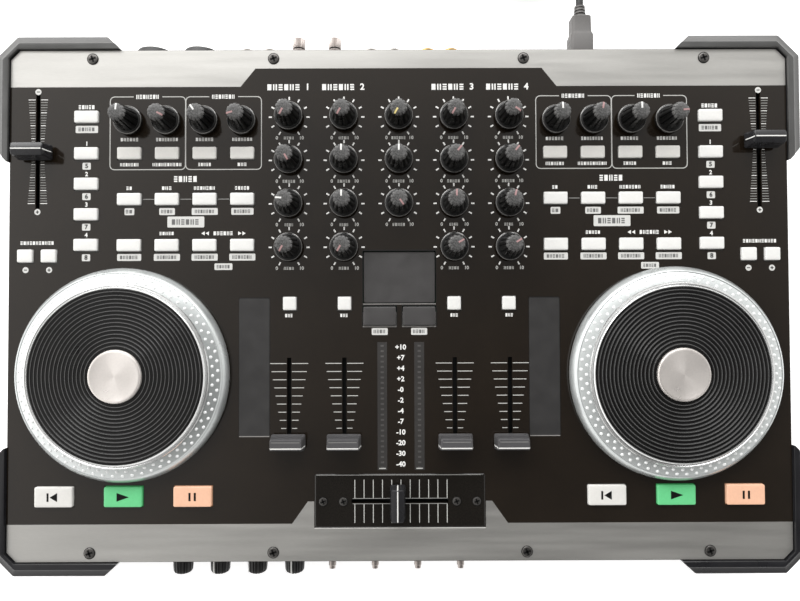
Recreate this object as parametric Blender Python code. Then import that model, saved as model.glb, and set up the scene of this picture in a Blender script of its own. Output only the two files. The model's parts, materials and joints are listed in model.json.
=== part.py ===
"""A four-channel DJ controller: a steel faceplate on a folded chassis, two jog wheels,
mixer knobs and faders, key mats under the plate, and its USB lead coiled behind it.

Lengths are in metres. The origin is on the surface it stands on, under the middle of the
faceplate. +X runs to the user's right, +Y to the rear, +Z up.
"""

import math

import bmesh
import bpy
from mathutils import Matrix, Vector

MM = 0.001

# Driving dimensions of the body
PANEL_WIDTH = 448.0 * MM
PANEL_DEPTH = 293.4 * MM
PANEL_TOP = 46.0 * MM
PANEL_THICKNESS = 1.6 * MM
CORNER_CUT = 5.5 * MM
SHEET = 1.2 * MM
CHASSIS_BOTTOM = 3.0 * MM
LIP_WIDTH = 12.7 * MM
GAP = 0.3 * MM
CUT_PAST = 4.0 * MM  # how far a cutter runs on beyond the sheet it cuts
EDGE_X = PANEL_WIDTH / 2
EDGE_Y = PANEL_DEPTH / 2
PANEL_UNDERSIDE = PANEL_TOP - PANEL_THICKNESS
CHASSIS_TOP = PANEL_UNDERSIDE - GAP

# Corner bumpers, which reach the floor as the feet
BUMPER_PROUD = 8.0 * MM
BUMPER_GAP = 0.9 * MM
BUMPER_CORNER_CUT = 12.0 * MM
BUMPER_REAR_ARM = 63.7 * MM
BUMPER_SIDE_ARM = 65.2 * MM
BUMPER_END_SLANT = 7.3 * MM
BUMPER_RISE = 2.0 * MM
BUMPER_CHAMFER = 1.5 * MM
BUMPER_INNER_CHAMFER = 0.8 * MM
FOOT_INTO_BUMPER = 1.8 * MM
FOOT_REACH = 26.0 * MM

# Circuit board and what stands on it
BOARD_BOTTOM = 36.0 * MM
BOARD_THICKNESS = 1.6 * MM
BOARD_WIDTH = 412.0 * MM
BOARD_DEPTH = 262.0 * MM
STANDOFF_RADIUS = 3.0 * MM
TOUCHPAD_WIDTH = 41.3 * MM
TOUCHPAD_DEPTH = 29.6 * MM
TOUCHPAD_Y = 14.9 * MM
TOUCHPAD_LEDGE = 3.0 * MM
TOUCHPAD_SUNK = 0.8 * MM

# Layout of the controls on the faceplate
CHANNEL_PITCH = 31.6 * MM
CHANNEL_X = [step * CHANNEL_PITCH for step in (-2, -1, 1, 2)]
KNOB_ROW_TOP = 107.6 * MM
KNOB_ROW_PITCH = 25.1 * MM
KNOB_ROWS = [KNOB_ROW_TOP - row * KNOB_ROW_PITCH for row in range(4)]
DECK_COLUMN_INNER = 90.1 * MM
DECK_COLUMN_PITCH = 21.65 * MM
DECK_COLUMNS = [DECK_COLUMN_INNER + i * DECK_COLUMN_PITCH for i in range(4)]
NUMBER_COLUMN = 179.8 * MM
NUMBER_PITCH = 17.6 * MM
KEY_ROW_TOP = 86.8 * MM
KEY_ROW_PITCH = 26.55 * MM
KEY_ROWS = [KEY_ROW_TOP - row * KEY_ROW_PITCH for row in range(3)]
NUMBER_ROWS = [KEY_ROW_TOP - row * NUMBER_PITCH for row in range(4)]
SYNC_Y = 107.9 * MM
FX_KNOB_Y = 105.2 * MM
BEND_KEY_X = (200.9 * MM, 214.4 * MM)
BEND_KEY_Y = 27.7 * MM
CUE_KEY_X = (31.4 * MM, 62.8 * MM)
CUE_KEY_Y = 0.0
PAD_KEY_X = 11.3 * MM
PAD_KEY_Y = -7.4 * MM
JOG_X = 157.2 * MM
JOG_Y = -40.3 * MM
TRANSPORT_Y = -109.5 * MM
TRANSPORT_PITCH = 39.4 * MM

# Keys
KEY_SIZE = (13.6 * MM, 6.9 * MM)
BEND_KEY_SIZE = (8.6 * MM, 7.4 * MM)
CUE_KEY_SIZE = (7.6 * MM, 7.6 * MM)
PAD_KEY_SIZE = (18.6 * MM, 10.8 * MM)
TRANSPORT_SIZE = (21.6 * MM, 11.4 * MM)
KEY_PROUD = 1.5 * MM
KEY_CHAMFER = 0.5 * MM
KEY_CLEARANCE = 0.4 * MM
MAT_THICKNESS = 1.5 * MM
MAT_MARGIN = 2.2 * MM

# Knobs
KNOB_SIDES = 10
SHAFT_RADIUS = 3.0 * MM
SHAFT_HOLE = 3.6 * MM
SHAFT_REACH = 7.0 * MM
SKIRT_RADIUS = 8.2 * MM
SKIRT_BOTTOM = 1.6 * MM
SKIRT_TOP = 4.4 * MM
KNOB_BASE_RADIUS = 6.6 * MM
KNOB_TOP_RADIUS = 4.6 * MM
KNOB_HEIGHT = 18.5 * MM
FRONT_KNOB_RADIUS = 5.6 * MM
FRONT_REACH = 12.8 * MM
FRONT_AXIS_Z = 26.0 * MM
FRONT_KNOB_X = [(-130.2 + 22.3 * i) * MM for i in range(4)]

# Front lever switches, joined by one bar behind the front wall
SWITCH_X = [(-40.4 + 25.45 * i) * MM for i in range(4)]
SWITCH_PIVOT_DEPTH = 4.0 * MM
SWITCH_THROW = math.radians(13)
SWITCH_LENGTH = 14.5 * MM
SWITCH_HOLE = 3.2 * MM
SWITCH_BAR = 1.4 * MM

# Faders: travel along the slot, slot length and where the cap is left
SLOT_HALF_WIDTH = 1.2 * MM
PITCH_FADER_X = 207.9 * MM
PITCH_FADER_Y = 88.0 * MM
PITCH_SLOT = 66.0 * MM
PITCH_REST = {-1: -1.2 * MM, 1: 4.6 * MM}
CHANNEL_FADER_Y = -56.05 * MM
CHANNEL_SLOT = 50.0 * MM
CHANNEL_TRAVEL = 45.0 * MM
CROSSFADER_Y = -112.5 * MM
CROSSFADER_SLOT = 55.0 * MM
CROSSFADER_REST = -1.3 * MM
CAP_LENGTH = 19.4 * MM
CAP_WIDTH = 8.8 * MM
CAP_TOP_LENGTH = 17.8 * MM
CAP_TOP_WIDTH = 6.0 * MM
CAP_BOTTOM = 2.0 * MM
CAP_TOP = 12.0 * MM
STEM_REACH = 7.0 * MM

# Jog wheels: (radius, height above the faceplate), from the hub's foot to the cap
JOG_STEPS = 36
JOG_HUB_RADIUS = 15.0 * MM
JOG_RADIUS = 60.8 * MM
JOG_DISC_RADIUS = 48.7 * MM
JOG_DISC_TOP = 12.3 * MM
JOG_CAP_TOP = 13.8 * MM
JOG_UNDERSIDE = 0.8 * MM
JOG_HUB_REACH = 7.6 * MM

# Rear sockets
REAR_AXIS_Z = 24.0 * MM
REAR_BLOCK_DEPTH = 18.5 * MM
XLR_X = (-149.0 * MM, -120.6 * MM)
XLR_RADIUS = 10.3 * MM
XLR_BORE = 8.6 * MM
XLR_PROUD = 7.0 * MM
XLR_DEPTH = 12.0 * MM
XLR_BLOCK_HALF = 11.6 * MM
RCA_X = (-92.8 * MM, -79.2 * MM, -16.9 * MM, -2.9 * MM, 17.9 * MM, 32.2 * MM)
RCA_RADIUS = 4.1 * MM
RCA_PROUD = 9.0 * MM
RCA_BLOCK_HALF = 6.0 * MM
POST_X = (-60.5 * MM, -38.7 * MM)
POST_Z = 28.0 * MM
POST_RADIUS = 1.8 * MM
POST_HEAD_RADIUS = 3.8 * MM
POST_HEAD_START = 4.0 * MM
POST_REACH = 12.8 * MM

# USB socket, plugs and lead
USB_X = 111.7 * MM
USB_SOCKET = (12.2 * MM, 11.2 * MM)
USB_CAVITY = (8.8 * MM, 8.4 * MM)
USB_INSERT = 5.0 * MM
USB_CAVITY_DEPTH = 6.0 * MM
PLUG_FACE = 1.2 * MM
LEAD_RADIUS = 2.25 * MM
LEAD_START_Y = 183.1 * MM
COIL_TURN_RADIUS = 31.0 * MM
COIL_OUTER = COIL_TURN_RADIUS + 2.7 * MM
COIL_INNER = COIL_TURN_RADIUS - 12.0 * MM
COIL_HEIGHT = 18.7 * MM
COIL_Y = 238.0 * MM
COIL_STEPS = 24
COIL_LEAD_IN = 18.4 * MM
TAIL_START = 19.6 * MM
# The lead's centreline from the plug to the coil, as (y, z): it stays in the plane x = USB_X
LEAD_ROUTE = [
    (LEAD_START_Y, REAR_AXIS_Z),
    (191.0 * MM, 23.9 * MM),
    (200.0 * MM, 22.6 * MM),
    (209.0 * MM, 19.6 * MM),
    (COIL_Y - COIL_LEAD_IN, 16.9 * MM),
]


# ---------------------------------------------------------------- shapes


def add_loft(bm, rings):
    """Joins rings with the same number of points into one closed skin, bottom ring first."""
    made = [[bm.verts.new(point) for point in ring] for ring in rings]
    for lower, upper in zip(made, made[1:]):
        for i, corner in enumerate(lower):
            j = (i + 1) % len(lower)
            bm.faces.new((corner, lower[j], upper[j], upper[i]))
    bm.faces.new(list(reversed(made[0])))
    bm.faces.new(made[-1])


def rectangle(centre_x, centre_y, half_x, half_y, z):
    return [
        Vector((centre_x - half_x, centre_y - half_y, z)),
        Vector((centre_x + half_x, centre_y - half_y, z)),
        Vector((centre_x + half_x, centre_y + half_y, z)),
        Vector((centre_x - half_x, centre_y + half_y, z)),
    ]


def circle(centre_x, centre_y, radius, z, sides):
    turn = 2 * math.pi / sides
    return [
        Vector(
            (
                centre_x + radius * math.cos((i + 0.5) * turn),
                centre_y + radius * math.sin((i + 0.5) * turn),
                z,
            )
        )
        for i in range(sides)
    ]


def add_box(bm, low, high):
    (x0, y0, z0), (x1, y1, z1) = low, high
    middle = ((x0 + x1) / 2, (y0 + y1) / 2)
    half = ((x1 - x0) / 2, (y1 - y0) / 2)
    add_loft(bm, [rectangle(*middle, *half, z) for z in (z0, z1)])


def add_stack(bm, levels, centre=(0.0, 0.0)):
    """A stepped block from (half x, half y, z) levels."""
    add_loft(bm, [rectangle(*centre, hx, hy, z) for hx, hy, z in levels])


def add_turned(bm, profile, sides, centre=(0.0, 0.0)):
    """A turned body from (radius, z) steps, bottom to top."""
    add_loft(bm, [circle(*centre, radius, z, sides) for radius, z in profile])


def add_prism(bm, outline, bottom, top):
    """An upright prism over (x, y) points that run counterclockwise."""
    add_loft(bm, [[Vector((x, y, z)) for x, y in outline] for z in (bottom, top)])


def panel_outline(inset):
    """The faceplate's outline with its four cut corners, moved in by inset."""
    x, y = EDGE_X - inset, EDGE_Y - inset
    cut = CORNER_CUT - inset * (2 - math.sqrt(2))
    return [
        (-x + cut, -y),
        (x - cut, -y),
        (x, -y + cut),
        (x, y - cut),
        (x - cut, y),
        (-x + cut, y),
        (-x, y - cut),
        (-x, -y + cut),
    ]


def facing_rear(place):
    """Turns a body built along +Z so that it points to the rear from place."""
    return Matrix.Translation(place) @ Matrix.Rotation(math.radians(-90), 4, "X")


def facing_front(place):
    return Matrix.Translation(place) @ Matrix.Rotation(math.radians(90), 4, "X")


def mesh_of(name, build, place=None):
    """A mesh from the bmesh that build fills, moved by place and with its faces out."""
    bm = bmesh.new()
    build(bm)
    if place is not None:
        bm.transform(place)
    bmesh.ops.recalc_face_normals(bm, faces=bm.faces)
    mesh = bpy.data.meshes.new(name)
    bm.to_mesh(mesh)
    bm.free()
    return mesh


def combined(mesh, tool, operation):
    """The Boolean of two meshes, as a new mesh."""
    body = bpy.data.objects.new("body", mesh)
    cutter = bpy.data.objects.new("cutter", tool)
    for helper in (body, cutter):
        bpy.context.scene.collection.objects.link(helper)
    modifier = body.modifiers.new("Boolean", "BOOLEAN")
    modifier.operation = operation
    modifier.solver = "EXACT"
    modifier.object = cutter
    graph = bpy.context.evaluated_depsgraph_get()
    result = bpy.data.meshes.new_from_object(body.evaluated_get(graph))
    for helper in (body, cutter):
        bpy.data.objects.remove(helper)
    return result


# ---------------------------------------------------------------- objects


def material(name, colour, roughness, metallic=0.0):
    made = bpy.data.materials.new(name)
    made.use_nodes = True
    shader = made.node_tree.nodes["Principled BSDF"]
    shader.inputs["Base Color"].default_value = (*colour, 1.0)
    shader.inputs["Roughness"].default_value = roughness
    shader.inputs["Metallic"].default_value = metallic
    return made


def place_node(name, mesh, finish, origin=(0.0, 0.0, 0.0), smooth=False):
    """One named object, whose mesh is written around its own origin."""
    colour, roughness, metallic = finish
    mesh.materials.clear()
    mesh.materials.append(material(name, colour, roughness, metallic))
    if smooth:
        mesh.shade_smooth()
        mesh.set_sharp_from_angle(angle=math.radians(40))
    node = bpy.data.objects.new(name, mesh)
    node.location = origin
    bpy.context.scene.collection.objects.link(node)
    return node


BLACK_PANEL = ((0.035, 0.032, 0.030), 0.35, 0.6)
BLACK_STEEL = ((0.020, 0.020, 0.022), 0.5, 0.4)
GREY_RUBBER = ((0.060, 0.060, 0.065), 0.75, 0.0)
GREEN_BOARD = ((0.020, 0.120, 0.050), 0.5, 0.0)
BLACK_PLASTIC = ((0.015, 0.015, 0.015), 0.35, 0.0)
GREY_PLASTIC = ((0.080, 0.080, 0.085), 0.4, 0.0)
WHITE_RUBBER = ((0.850, 0.850, 0.830), 0.5, 0.0)
GREEN_KEY = ((0.100, 0.650, 0.190), 0.4, 0.0)
ORANGE_KEY = ((0.850, 0.520, 0.300), 0.4, 0.0)
CLEAR_GREY = ((0.550, 0.570, 0.570), 0.3, 0.0)
NICKEL = ((0.620, 0.600, 0.580), 0.25, 1.0)


def make_faceplate(switch_keys):
    """The steel faceplate with an opening for every control."""

    def openings(bm):
        low, high = PANEL_UNDERSIDE - CUT_PAST, PANEL_TOP + CUT_PAST

        def slot(x, y, half_x, half_y):
            add_box(bm, (x - half_x, y - half_y, low), (x + half_x, y + half_y, high))

        for x, y, size in switch_keys:
            slot(x, y, size[0] / 2 + KEY_CLEARANCE, size[1] / 2 + KEY_CLEARANCE)
        for x, y in knob_places():
            add_turned(bm, [(SHAFT_HOLE, low), (SHAFT_HOLE, high)], 8, (x, y))
        for side in (-1, 1):
            slot(side * PITCH_FADER_X, PITCH_FADER_Y, SLOT_HALF_WIDTH, PITCH_SLOT / 2)
            hub_hole = JOG_HUB_RADIUS + 1 * MM
            add_turned(bm, [(hub_hole, low), (hub_hole, high)], 24, (side * JOG_X, JOG_Y))
        for x in CHANNEL_X:
            slot(x, CHANNEL_FADER_Y, SLOT_HALF_WIDTH, CHANNEL_SLOT / 2)
        slot(0, CROSSFADER_Y, CROSSFADER_SLOT / 2, SLOT_HALF_WIDTH)
        slot(0, TOUCHPAD_Y, TOUCHPAD_WIDTH / 2 + GAP, TOUCHPAD_DEPTH / 2 + GAP)

    plate = mesh_of(
        "faceplate", lambda bm: add_prism(bm, panel_outline(0), PANEL_UNDERSIDE, PANEL_TOP)
    )
    plate = combined(plate, mesh_of("openings", openings), "DIFFERENCE")
    place_node("faceplate", plate, BLACK_PANEL)


def make_chassis():
    """The folded tray: floor, four walls, a lip at front and rear, and six standoffs."""
    floor_top = CHASSIS_BOTTOM + SHEET
    lip_bottom = CHASSIS_TOP - SHEET

    def standoffs(bm):
        for x in (-BOARD_WIDTH * 0.46, 0.0, BOARD_WIDTH * 0.46):
            for y in (-BOARD_DEPTH * 0.46, BOARD_DEPTH * 0.40):
                foot = floor_top - SHEET / 2
                profile = [(STANDOFF_RADIUS, foot), (STANDOFF_RADIUS, BOARD_BOTTOM - GAP)]
                add_turned(bm, profile, 8, (x, y))

    def mouth(bm):
        half_x, half_y = EDGE_X - SHEET, EDGE_Y - LIP_WIDTH
        add_box(bm, (-half_x, -half_y, lip_bottom - SHEET), (half_x, half_y, PANEL_TOP))

    def rear_holes(bm):
        def bore(x, z, radius, sides):
            centre = (x, -z)
            add_turned(bm, [(radius, -CUT_PAST), (radius, CUT_PAST)], sides, centre)

        for x in XLR_X:
            bore(x, REAR_AXIS_Z, XLR_RADIUS + GAP, 16)
        for x in RCA_X:
            bore(x, REAR_AXIS_Z, RCA_RADIUS + GAP, 10)
        for x in POST_X:
            bore(x, POST_Z, POST_RADIUS + GAP, 8)
        half = [side / 2 + GAP for side in USB_SOCKET]
        middle = (USB_X, -REAR_AXIS_Z)
        add_stack(bm, [(*half, -CUT_PAST), (*half, CUT_PAST)], middle)

    def front_holes(bm):
        holes = [(x, SHAFT_RADIUS + GAP) for x in FRONT_KNOB_X]
        holes += [(x, SWITCH_HOLE) for x in SWITCH_X]
        for x, radius in holes:
            profile = [(radius, -CUT_PAST), (radius, CUT_PAST)]
            add_turned(bm, profile, 8, (x, FRONT_AXIS_Z))

    tray = mesh_of(
        "tray", lambda bm: add_prism(bm, panel_outline(0), CHASSIS_BOTTOM, CHASSIS_TOP)
    )
    room = mesh_of("room", lambda bm: add_prism(bm, panel_outline(SHEET), floor_top, lip_bottom))
    tray = combined(tray, room, "DIFFERENCE")
    tray = combined(tray, mesh_of("mouth", mouth), "DIFFERENCE")
    rear = mesh_of("rear holes", rear_holes, facing_rear((0, EDGE_Y, 0)))
    tray = combined(tray, rear, "DIFFERENCE")
    front = mesh_of("front holes", front_holes, facing_front((0, -EDGE_Y, 0)))
    tray = combined(tray, front, "DIFFERENCE")
    tray = combined(tray, mesh_of("standoffs", standoffs), "UNION")
    place_node("bottom_chassis", tray, BLACK_STEEL)


def bumper_outline(side, end, proud, gap, z):
    """The bumper's plan: an L round one corner with slanted arm ends."""
    x, y = EDGE_X, EDGE_Y
    arm_x = x - BUMPER_REAR_ARM
    arm_y = y - BUMPER_SIDE_ARM
    cut = BUMPER_CORNER_CUT
    corner = CORNER_CUT - gap * (2 - math.sqrt(2))
    points = [
        (arm_x, y + gap),
        (x + gap - corner, y + gap),
        (x + gap, y + gap - corner),
        (x + gap, arm_y),
        (x + proud, arm_y + BUMPER_END_SLANT),
        (x + proud, y + proud - cut),
        (x + proud - cut, y + proud),
        (arm_x + BUMPER_END_SLANT, y + proud),
    ]
    return [Vector((side * px, end * py, z)) for px, py in points]


def make_bumpers():
    """Four corner bumpers, each with a foot that reaches under the chassis."""
    top = PANEL_TOP + BUMPER_RISE
    levels = [
        (BUMPER_PROUD - BUMPER_CHAMFER, BUMPER_GAP, 0.0),
        (BUMPER_PROUD, BUMPER_GAP, BUMPER_CHAMFER),
        (BUMPER_PROUD, BUMPER_GAP, top - BUMPER_CHAMFER),
        (BUMPER_PROUD - BUMPER_CHAMFER, BUMPER_GAP + BUMPER_INNER_CHAMFER, top),
    ]
    for end, end_name in ((1, "rear"), (-1, "front")):
        for side, side_name in ((-1, "left"), (1, "right")):

            def wall(bm):
                add_loft(bm, [bumper_outline(side, end, *level) for level in levels])

            def foot(bm):
                near = (side * (EDGE_X - FOOT_REACH), end * (EDGE_Y - FOOT_REACH))
                far = [
                    side * (EDGE_X + FOOT_INTO_BUMPER),
                    end * (EDGE_Y + FOOT_INTO_BUMPER),
                ]
                (x0, x1), (y0, y1) = [sorted(pair) for pair in zip(near, far)]
                add_box(bm, (x0, y0, 0), (x1, y1, CHASSIS_BOTTOM - GAP))

            body = combined(mesh_of("wall", wall), mesh_of("foot", foot), "UNION")
            place_node(f"bumper_{end_name}_{side_name}", body, GREY_RUBBER)


def make_circuit_board():
    """The main board with the rear sockets and the touchpad module soldered to it."""
    board_top = BOARD_BOTTOM + BOARD_THICKNESS
    inner_wall = EDGE_Y - SHEET - GAP
    board_front = -BOARD_DEPTH / 2 - 2 * MM
    board_rear = BOARD_DEPTH / 2 - 2 * MM

    def plate(bm):
        half_x = BOARD_WIDTH / 2
        add_box(bm, (-half_x, board_front, BOARD_BOTTOM), (half_x, board_rear, board_top))

    def blocks(bm):
        front = inner_wall - REAR_BLOCK_DEPTH
        top = BOARD_BOTTOM + BOARD_THICKNESS / 2

        def block(x0, x1, bottom):
            add_box(bm, (x0, front, bottom), (x1, inner_wall, top))

        for x in XLR_X:
            block(x - XLR_BLOCK_HALF, x + XLR_BLOCK_HALF, REAR_AXIS_Z - XLR_BLOCK_HALF)
        for first, last in zip(RCA_X[::2], RCA_X[1::2]):
            block(first - RCA_BLOCK_HALF, last + RCA_BLOCK_HALF, REAR_AXIS_Z - RCA_BLOCK_HALF)
        post_left, post_right = POST_X
        block(post_left - RCA_BLOCK_HALF, post_right + RCA_BLOCK_HALF, POST_Z - RCA_BLOCK_HALF)
        half_width, half_height = (side / 2 for side in USB_SOCKET)
        block(USB_X - half_width, USB_X + half_width, REAR_AXIS_Z - half_height)
        pillar = (TOUCHPAD_WIDTH / 2 - TOUCHPAD_LEDGE, TOUCHPAD_DEPTH / 2 - TOUCHPAD_LEDGE)
        pad = (TOUCHPAD_WIDTH / 2, TOUCHPAD_DEPTH / 2)
        levels = [
            (*pillar, board_top - BOARD_THICKNESS / 2),
            (*pillar, PANEL_UNDERSIDE + GAP),
            (*pad, PANEL_UNDERSIDE + GAP),
            (*pad, PANEL_TOP - TOUCHPAD_SUNK),
        ]
        add_stack(bm, levels, (0, TOUCHPAD_Y))

    def barrels(bm):
        """Built along +Z from the blocks' rear faces, where +Y is down."""
        root = -2 * MM
        wall = SHEET + GAP
        for x in XLR_X:
            profile = [(XLR_RADIUS, root), (XLR_RADIUS, wall + XLR_PROUD)]
            add_turned(bm, profile, 16, (x, -REAR_AXIS_Z))
        for x in RCA_X:
            profile = [(RCA_RADIUS, root), (RCA_RADIUS, wall + RCA_PROUD)]
            add_turned(bm, profile, 10, (x, -REAR_AXIS_Z))
        for x in POST_X:
            profile = [
                (POST_RADIUS, root),
                (POST_RADIUS, wall + POST_HEAD_START),
                (POST_HEAD_RADIUS, wall + POST_HEAD_START),
                (POST_HEAD_RADIUS, wall + POST_REACH),
            ]
            add_turned(bm, profile, 10, (x, -POST_Z))
        half = [side / 2 - 0.1 * MM for side in USB_SOCKET]
        add_stack(bm, [(*half, root), (*half, wall + 0.3 * MM)], (USB_X, -REAR_AXIS_Z))

    def bores(bm):
        wall = SHEET + GAP
        for x in XLR_X:
            floor = wall + XLR_PROUD - XLR_DEPTH
            profile = [(XLR_BORE, floor), (XLR_BORE, wall + XLR_PROUD + 2 * MM)]
            add_turned(bm, profile, 16, (x, -REAR_AXIS_Z))
        half = [side / 2 for side in USB_CAVITY]
        floor = wall - USB_CAVITY_DEPTH
        add_stack(bm, [(*half, floor), (*half, wall + 2 * MM)], (USB_X, -REAR_AXIS_Z))

    turn = facing_rear((0, inner_wall, 0))
    board = combined(mesh_of("plate", plate), mesh_of("blocks", blocks), "UNION")
    board = combined(board, mesh_of("barrels", barrels, turn), "UNION")
    board = combined(board, mesh_of("bores", bores, turn), "DIFFERENCE")
    place_node("circuit_board", board, GREEN_BOARD)


# ---------------------------------------------------------------- keys


def mat_keys():
    """Every key of the right key mat, as (x, y, size)."""
    keys = [(NUMBER_COLUMN, SYNC_Y, KEY_SIZE)]
    keys += [(NUMBER_COLUMN, y, KEY_SIZE) for y in NUMBER_ROWS]
    keys += [(x, y, KEY_SIZE) for y in KEY_ROWS for x in DECK_COLUMNS]
    keys += [(x, BEND_KEY_Y, BEND_KEY_SIZE) for x in BEND_KEY_X]
    keys += [(x, CUE_KEY_Y, CUE_KEY_SIZE) for x in CUE_KEY_X]
    keys.append((PAD_KEY_X, PAD_KEY_Y, PAD_KEY_SIZE))
    return keys


def mat_outline():
    """The right mat's comb: strips under the key rows, joined by a spine at each end."""
    half_x, half_y = KEY_SIZE[0] / 2 + MAT_MARGIN, KEY_SIZE[1] / 2 + MAT_MARGIN
    spine_in, spine_out = NUMBER_COLUMN - half_x, NUMBER_COLUMN + half_x
    inner = DECK_COLUMNS[0] - half_x
    top_row, loop_row, search_row = KEY_ROWS
    link = inner + 9 * MM
    bend_out = BEND_KEY_X[1] + BEND_KEY_SIZE[0] / 2 + MAT_MARGIN
    bend_bottom = BEND_KEY_Y - BEND_KEY_SIZE[1] / 2 - MAT_MARGIN
    cue_top = CUE_KEY_Y + CUE_KEY_SIZE[1] / 2 + MAT_MARGIN
    cue_in = CUE_KEY_X[0] - CUE_KEY_SIZE[0] / 2 - MAT_MARGIN
    pad_in = PAD_KEY_X - PAD_KEY_SIZE[0] / 2 - 0.6 * MM
    pad_top = PAD_KEY_Y + PAD_KEY_SIZE[1] / 2
    pad_bottom = PAD_KEY_Y - PAD_KEY_SIZE[1] / 2 - 0.6 * MM
    return [
        (pad_in, pad_bottom),
        (link, pad_bottom),
        (link, search_row - half_y),
        (spine_in, search_row - half_y),
        (spine_in, bend_bottom),
        (bend_out, bend_bottom),
        (bend_out, search_row),
        (spine_out, search_row),
        (spine_out, SYNC_Y + half_y),
        (spine_in, SYNC_Y + half_y),
        (spine_in, top_row + half_y),
        (inner, top_row + half_y),
        (inner, top_row - half_y),
        (spine_in, top_row - half_y),
        (spine_in, loop_row + half_y),
        (inner, loop_row + half_y),
        (inner, loop_row - half_y),
        (spine_in, loop_row - half_y),
        (spine_in, search_row + half_y),
        (inner, search_row + half_y),
        (inner, cue_top),
        (cue_in, cue_top),
        (cue_in, pad_top),
        (pad_in, pad_top),
    ]


def key_levels(size, bottom):
    half_x, half_y = size[0] / 2, size[1] / 2
    top = PANEL_TOP + KEY_PROUD
    return [
        (half_x, half_y, bottom),
        (half_x, half_y, top - KEY_CHAMFER),
        (half_x - KEY_CHAMFER, half_y - KEY_CHAMFER, top),
    ]


def make_keypads():
    """One silicone mat a side, with all its keys standing up through the faceplate."""
    mat_top = PANEL_UNDERSIDE - GAP
    for side, name in ((-1, "keypad_left"), (1, "keypad_right")):

        def mat(bm):
            outline = [(side * x, y) for x, y in mat_outline()]
            add_prism(bm, outline, mat_top - MAT_THICKNESS, mat_top)

        def keys(bm):
            for x, y, size in mat_keys():
                add_stack(bm, key_levels(size, mat_top - MAT_THICKNESS / 2), (side * x, y))

        body = combined(mesh_of("mat", mat), mesh_of("keys", keys), "UNION")
        place_node(name, body, WHITE_RUBBER)


def transport_keys():
    """(name, x, finish) of the six keys in front of the jog wheels."""
    for side, deck in ((-1, "left"), (1, "right")):
        middle = side * JOG_X
        yield f"cue_key_{deck}", middle - TRANSPORT_PITCH, WHITE_RUBBER
        yield f"play_key_{deck}", middle, GREEN_KEY
        yield f"pause_key_{deck}", middle + TRANSPORT_PITCH, ORANGE_KEY


def make_transport_keys():
    half_x, half_y = TRANSPORT_SIZE[0] / 2, TRANSPORT_SIZE[1] / 2
    flange = 1.2 * MM
    bottom = -PANEL_THICKNESS - GAP - flange
    top = KEY_PROUD + 0.4 * MM
    levels = [
        (half_x + flange, half_y + flange, bottom),
        (half_x + flange, half_y + flange, bottom + flange),
        (half_x, half_y, bottom + flange),
        (half_x, half_y, top - KEY_CHAMFER),
        (half_x - KEY_CHAMFER, half_y - KEY_CHAMFER, top),
    ]
    for name, x, finish in transport_keys():
        key = mesh_of(name, lambda bm: add_stack(bm, levels))
        place_node(name, key, finish, (x, TRANSPORT_Y, PANEL_TOP))


# ---------------------------------------------------------------- knobs, faders, wheels


def top_knobs():
    """(name, x, y) of the 27 knobs on the faceplate."""
    for channel, x in enumerate(CHANNEL_X, 1):
        for control, y in zip(("gain", "treble", "mid", "bass"), KNOB_ROWS):
            yield f"channel_{channel}_{control}_knob", x, y
    for control, y in zip(("master_level", "balance", "booth_level"), KNOB_ROWS):
        yield f"{control}_knob", 0.0, y
    for side, deck in ((-1, "left"), (1, "right")):
        columns = sorted(side * x for x in DECK_COLUMNS)
        for number, x in enumerate(columns, 1):
            yield f"{deck}_effect_knob_{number}", x, FX_KNOB_Y


def knob_places():
    return [(x, y) for _, x, y in top_knobs()]


def make_top_knobs():
    profile = [
        (SHAFT_RADIUS, -SHAFT_REACH),
        (SHAFT_RADIUS, SKIRT_BOTTOM),
        (SKIRT_RADIUS, SKIRT_BOTTOM),
        (SKIRT_RADIUS, SKIRT_TOP),
        (KNOB_BASE_RADIUS, SKIRT_TOP),
        (KNOB_TOP_RADIUS, KNOB_HEIGHT),
    ]
    for name, x, y in top_knobs():
        knob = mesh_of(name, lambda bm: add_turned(bm, profile, KNOB_SIDES))
        place_node(name, knob, BLACK_PLASTIC, (x, y, PANEL_TOP), smooth=True)


def make_front_knobs():
    """The small knobs on the front wall, turned about the -Y direction."""
    face = 0.6 * MM
    profile = [
        (SHAFT_RADIUS, -SHEET - 3 * MM),
        (SHAFT_RADIUS, face),
        (FRONT_KNOB_RADIUS, face),
        (FRONT_KNOB_RADIUS, FRONT_REACH - 1.5 * MM),
        (FRONT_KNOB_RADIUS - 1.5 * MM, FRONT_REACH),
    ]
    turn = Matrix.Rotation(math.radians(90), 4, "X")
    for number, x in enumerate(FRONT_KNOB_X, 1):
        name = f"front_knob_{number}"
        knob = mesh_of(name, lambda bm: add_turned(bm, profile, KNOB_SIDES), turn)
        place_node(name, knob, BLACK_PLASTIC, (x, -EDGE_Y, FRONT_AXIS_Z), smooth=True)


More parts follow.
